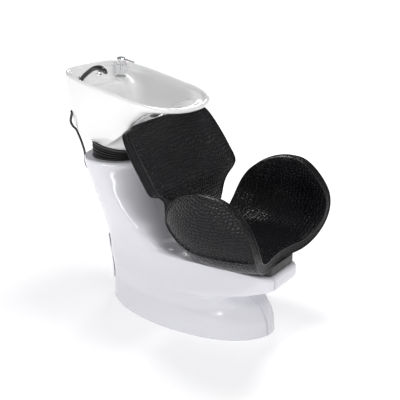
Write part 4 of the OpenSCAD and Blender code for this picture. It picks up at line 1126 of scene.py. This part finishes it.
def back_edge(o, grow=0.0):
    """Outline of the backrest at depth o, pushed out by grow."""
    m, n = len(BACK_HS), len(BACK_US)
    pts = np.array([back_xyz(BACK_HS[k // n], BACK_US[k % n], o) for k in edge_loop(m, n)])
    centre = back_xyz(8.5, 0.0, o)
    tangent = unit(np.roll(pts, -1, 0) - np.roll(pts, 1, 0))
    out = unit(np.cross(tangent, (0, -0.82, 0.57)))
    out *= np.sign(np.sum(out * (pts - centre), axis=1, keepdims=True))
    return pts + out * grow


def back_band():
    """Boxing band round the backrest, between its two piped seams."""
    rings = [back_edge(3.8 + (BACK_T - 7.6) * f, -2.0 + 2.4 * (1 - (2 * f - 1) ** 2))
             for f in np.linspace(0, 1, 13)]
    m, n = len(rings), len(rings[0])
    run = run_along(rings[0])
    uv = np.vstack([np.stack([run, np.full(n, k * 4.0)], -1) for k in range(m)]) * MM
    obj = add_mesh("backrest_boxing", np.vstack(rings), lattice(m, n), MAT["fine_vinyl"], uv)
    place(obj, "base", "black_vinyl")


back_face("backrest_cushion", True, "backrest_padding")
back_face("backrest_rear_cover", False, "backrest_cover")
back_band()
piping("backrest_piping_front", back_edge(3.6, -1.0))
piping("backrest_piping_rear", back_edge(BACK_T - 3.6, -1.0))

# ---------------- floor, light
def floor():
    """Wide white studio floor with a little light of its own, like a lit sweep."""
    mesh = bpy.data.meshes.new("floor")
    s = 60.0
    mesh.from_pydata([(-s, -s, 0), (s, -s, 0), (s, s, 0), (-s, s, 0)], [], [(0, 1, 2, 3)])
    obj = bpy.data.objects.new("floor", mesh)
    scene.collection.objects.link(obj)
    m = Nodes("floor")
    v = m.coords()
    m.out(m.ramp(m.noise(v, 2.0, 2), [(0.3, (0.88, 0.88, 0.89)), (0.8, (0.90, 0.90, 0.91))]), "Base Color")
    m.set(Roughness=0.65, Emission_Color=(1, 1, 1, 1))
    away = m.add("ShaderNodeVectorMath", operation="LENGTH")
    m.link(v, away.inputs[0])
    m.out(m.range(away.outputs["Value"], 0.9, 3.2, 0.42, 0.97), "Emission Strength")
    mesh.materials.append(m.mat)
    obj.location = (0, 0, -0.0005)


floor()


def area_light(name, location, target, size, power, size_y=None):
    data = bpy.data.lights.new(name, "AREA")
    data.shape = "RECTANGLE"
    data.size = size
    data.size_y = size_y or size
    data.energy = power
    obj = bpy.data.objects.new(name, data)
    scene.collection.objects.link(obj)
    obj.location = location
    aim(obj, target)


area_light("key", (-1.2, -2.4, 2.6), (0, 0, 0.5), 1.5, 18, 0.35)
area_light("side", (-2.9, -0.1, 1.0), (0, -0.1, 0.55), 2.6, 20, 0.3)
area_light("top", (0.5, 0.0, 3.2), (0, 0.2, 0.6), 0.8, 30)
area_light("rim", (2.4, 1.4, 1.8), (0, 0, 0.6), 0.6, 12)


def studio_world():
    """Soft surroundings, bright at the horizon and dimmer overhead."""
    world = bpy.data.worlds.new("studio")
    scene.world = world
    world.use_nodes = True
    tree = world.node_tree
    coords = tree.nodes.new("ShaderNodeTexCoord")
    split = tree.nodes.new("ShaderNodeSeparateXYZ")
    ramp = tree.nodes.new("ShaderNodeValToRGB")
    stops = [(0.0, 0.70), (0.12, 0.56), (0.45, 0.22), (1.0, 0.34)]
    while len(ramp.color_ramp.elements) < len(stops):
        ramp.color_ramp.elements.new(0.5)
    for element, (position, value) in zip(ramp.color_ramp.elements, stops):
        element.position = position
        element.color = (value, value, value * 1.02, 1)
    tree.links.new(coords.outputs["Generated"], split.inputs["Vector"])
    tree.links.new(split.outputs["Z"], ramp.inputs["Fac"])
    tree.links.new(ramp.outputs["Color"], tree.nodes["Background"].inputs["Color"])


studio_world()

scene.view_settings.view_transform = "Standard"
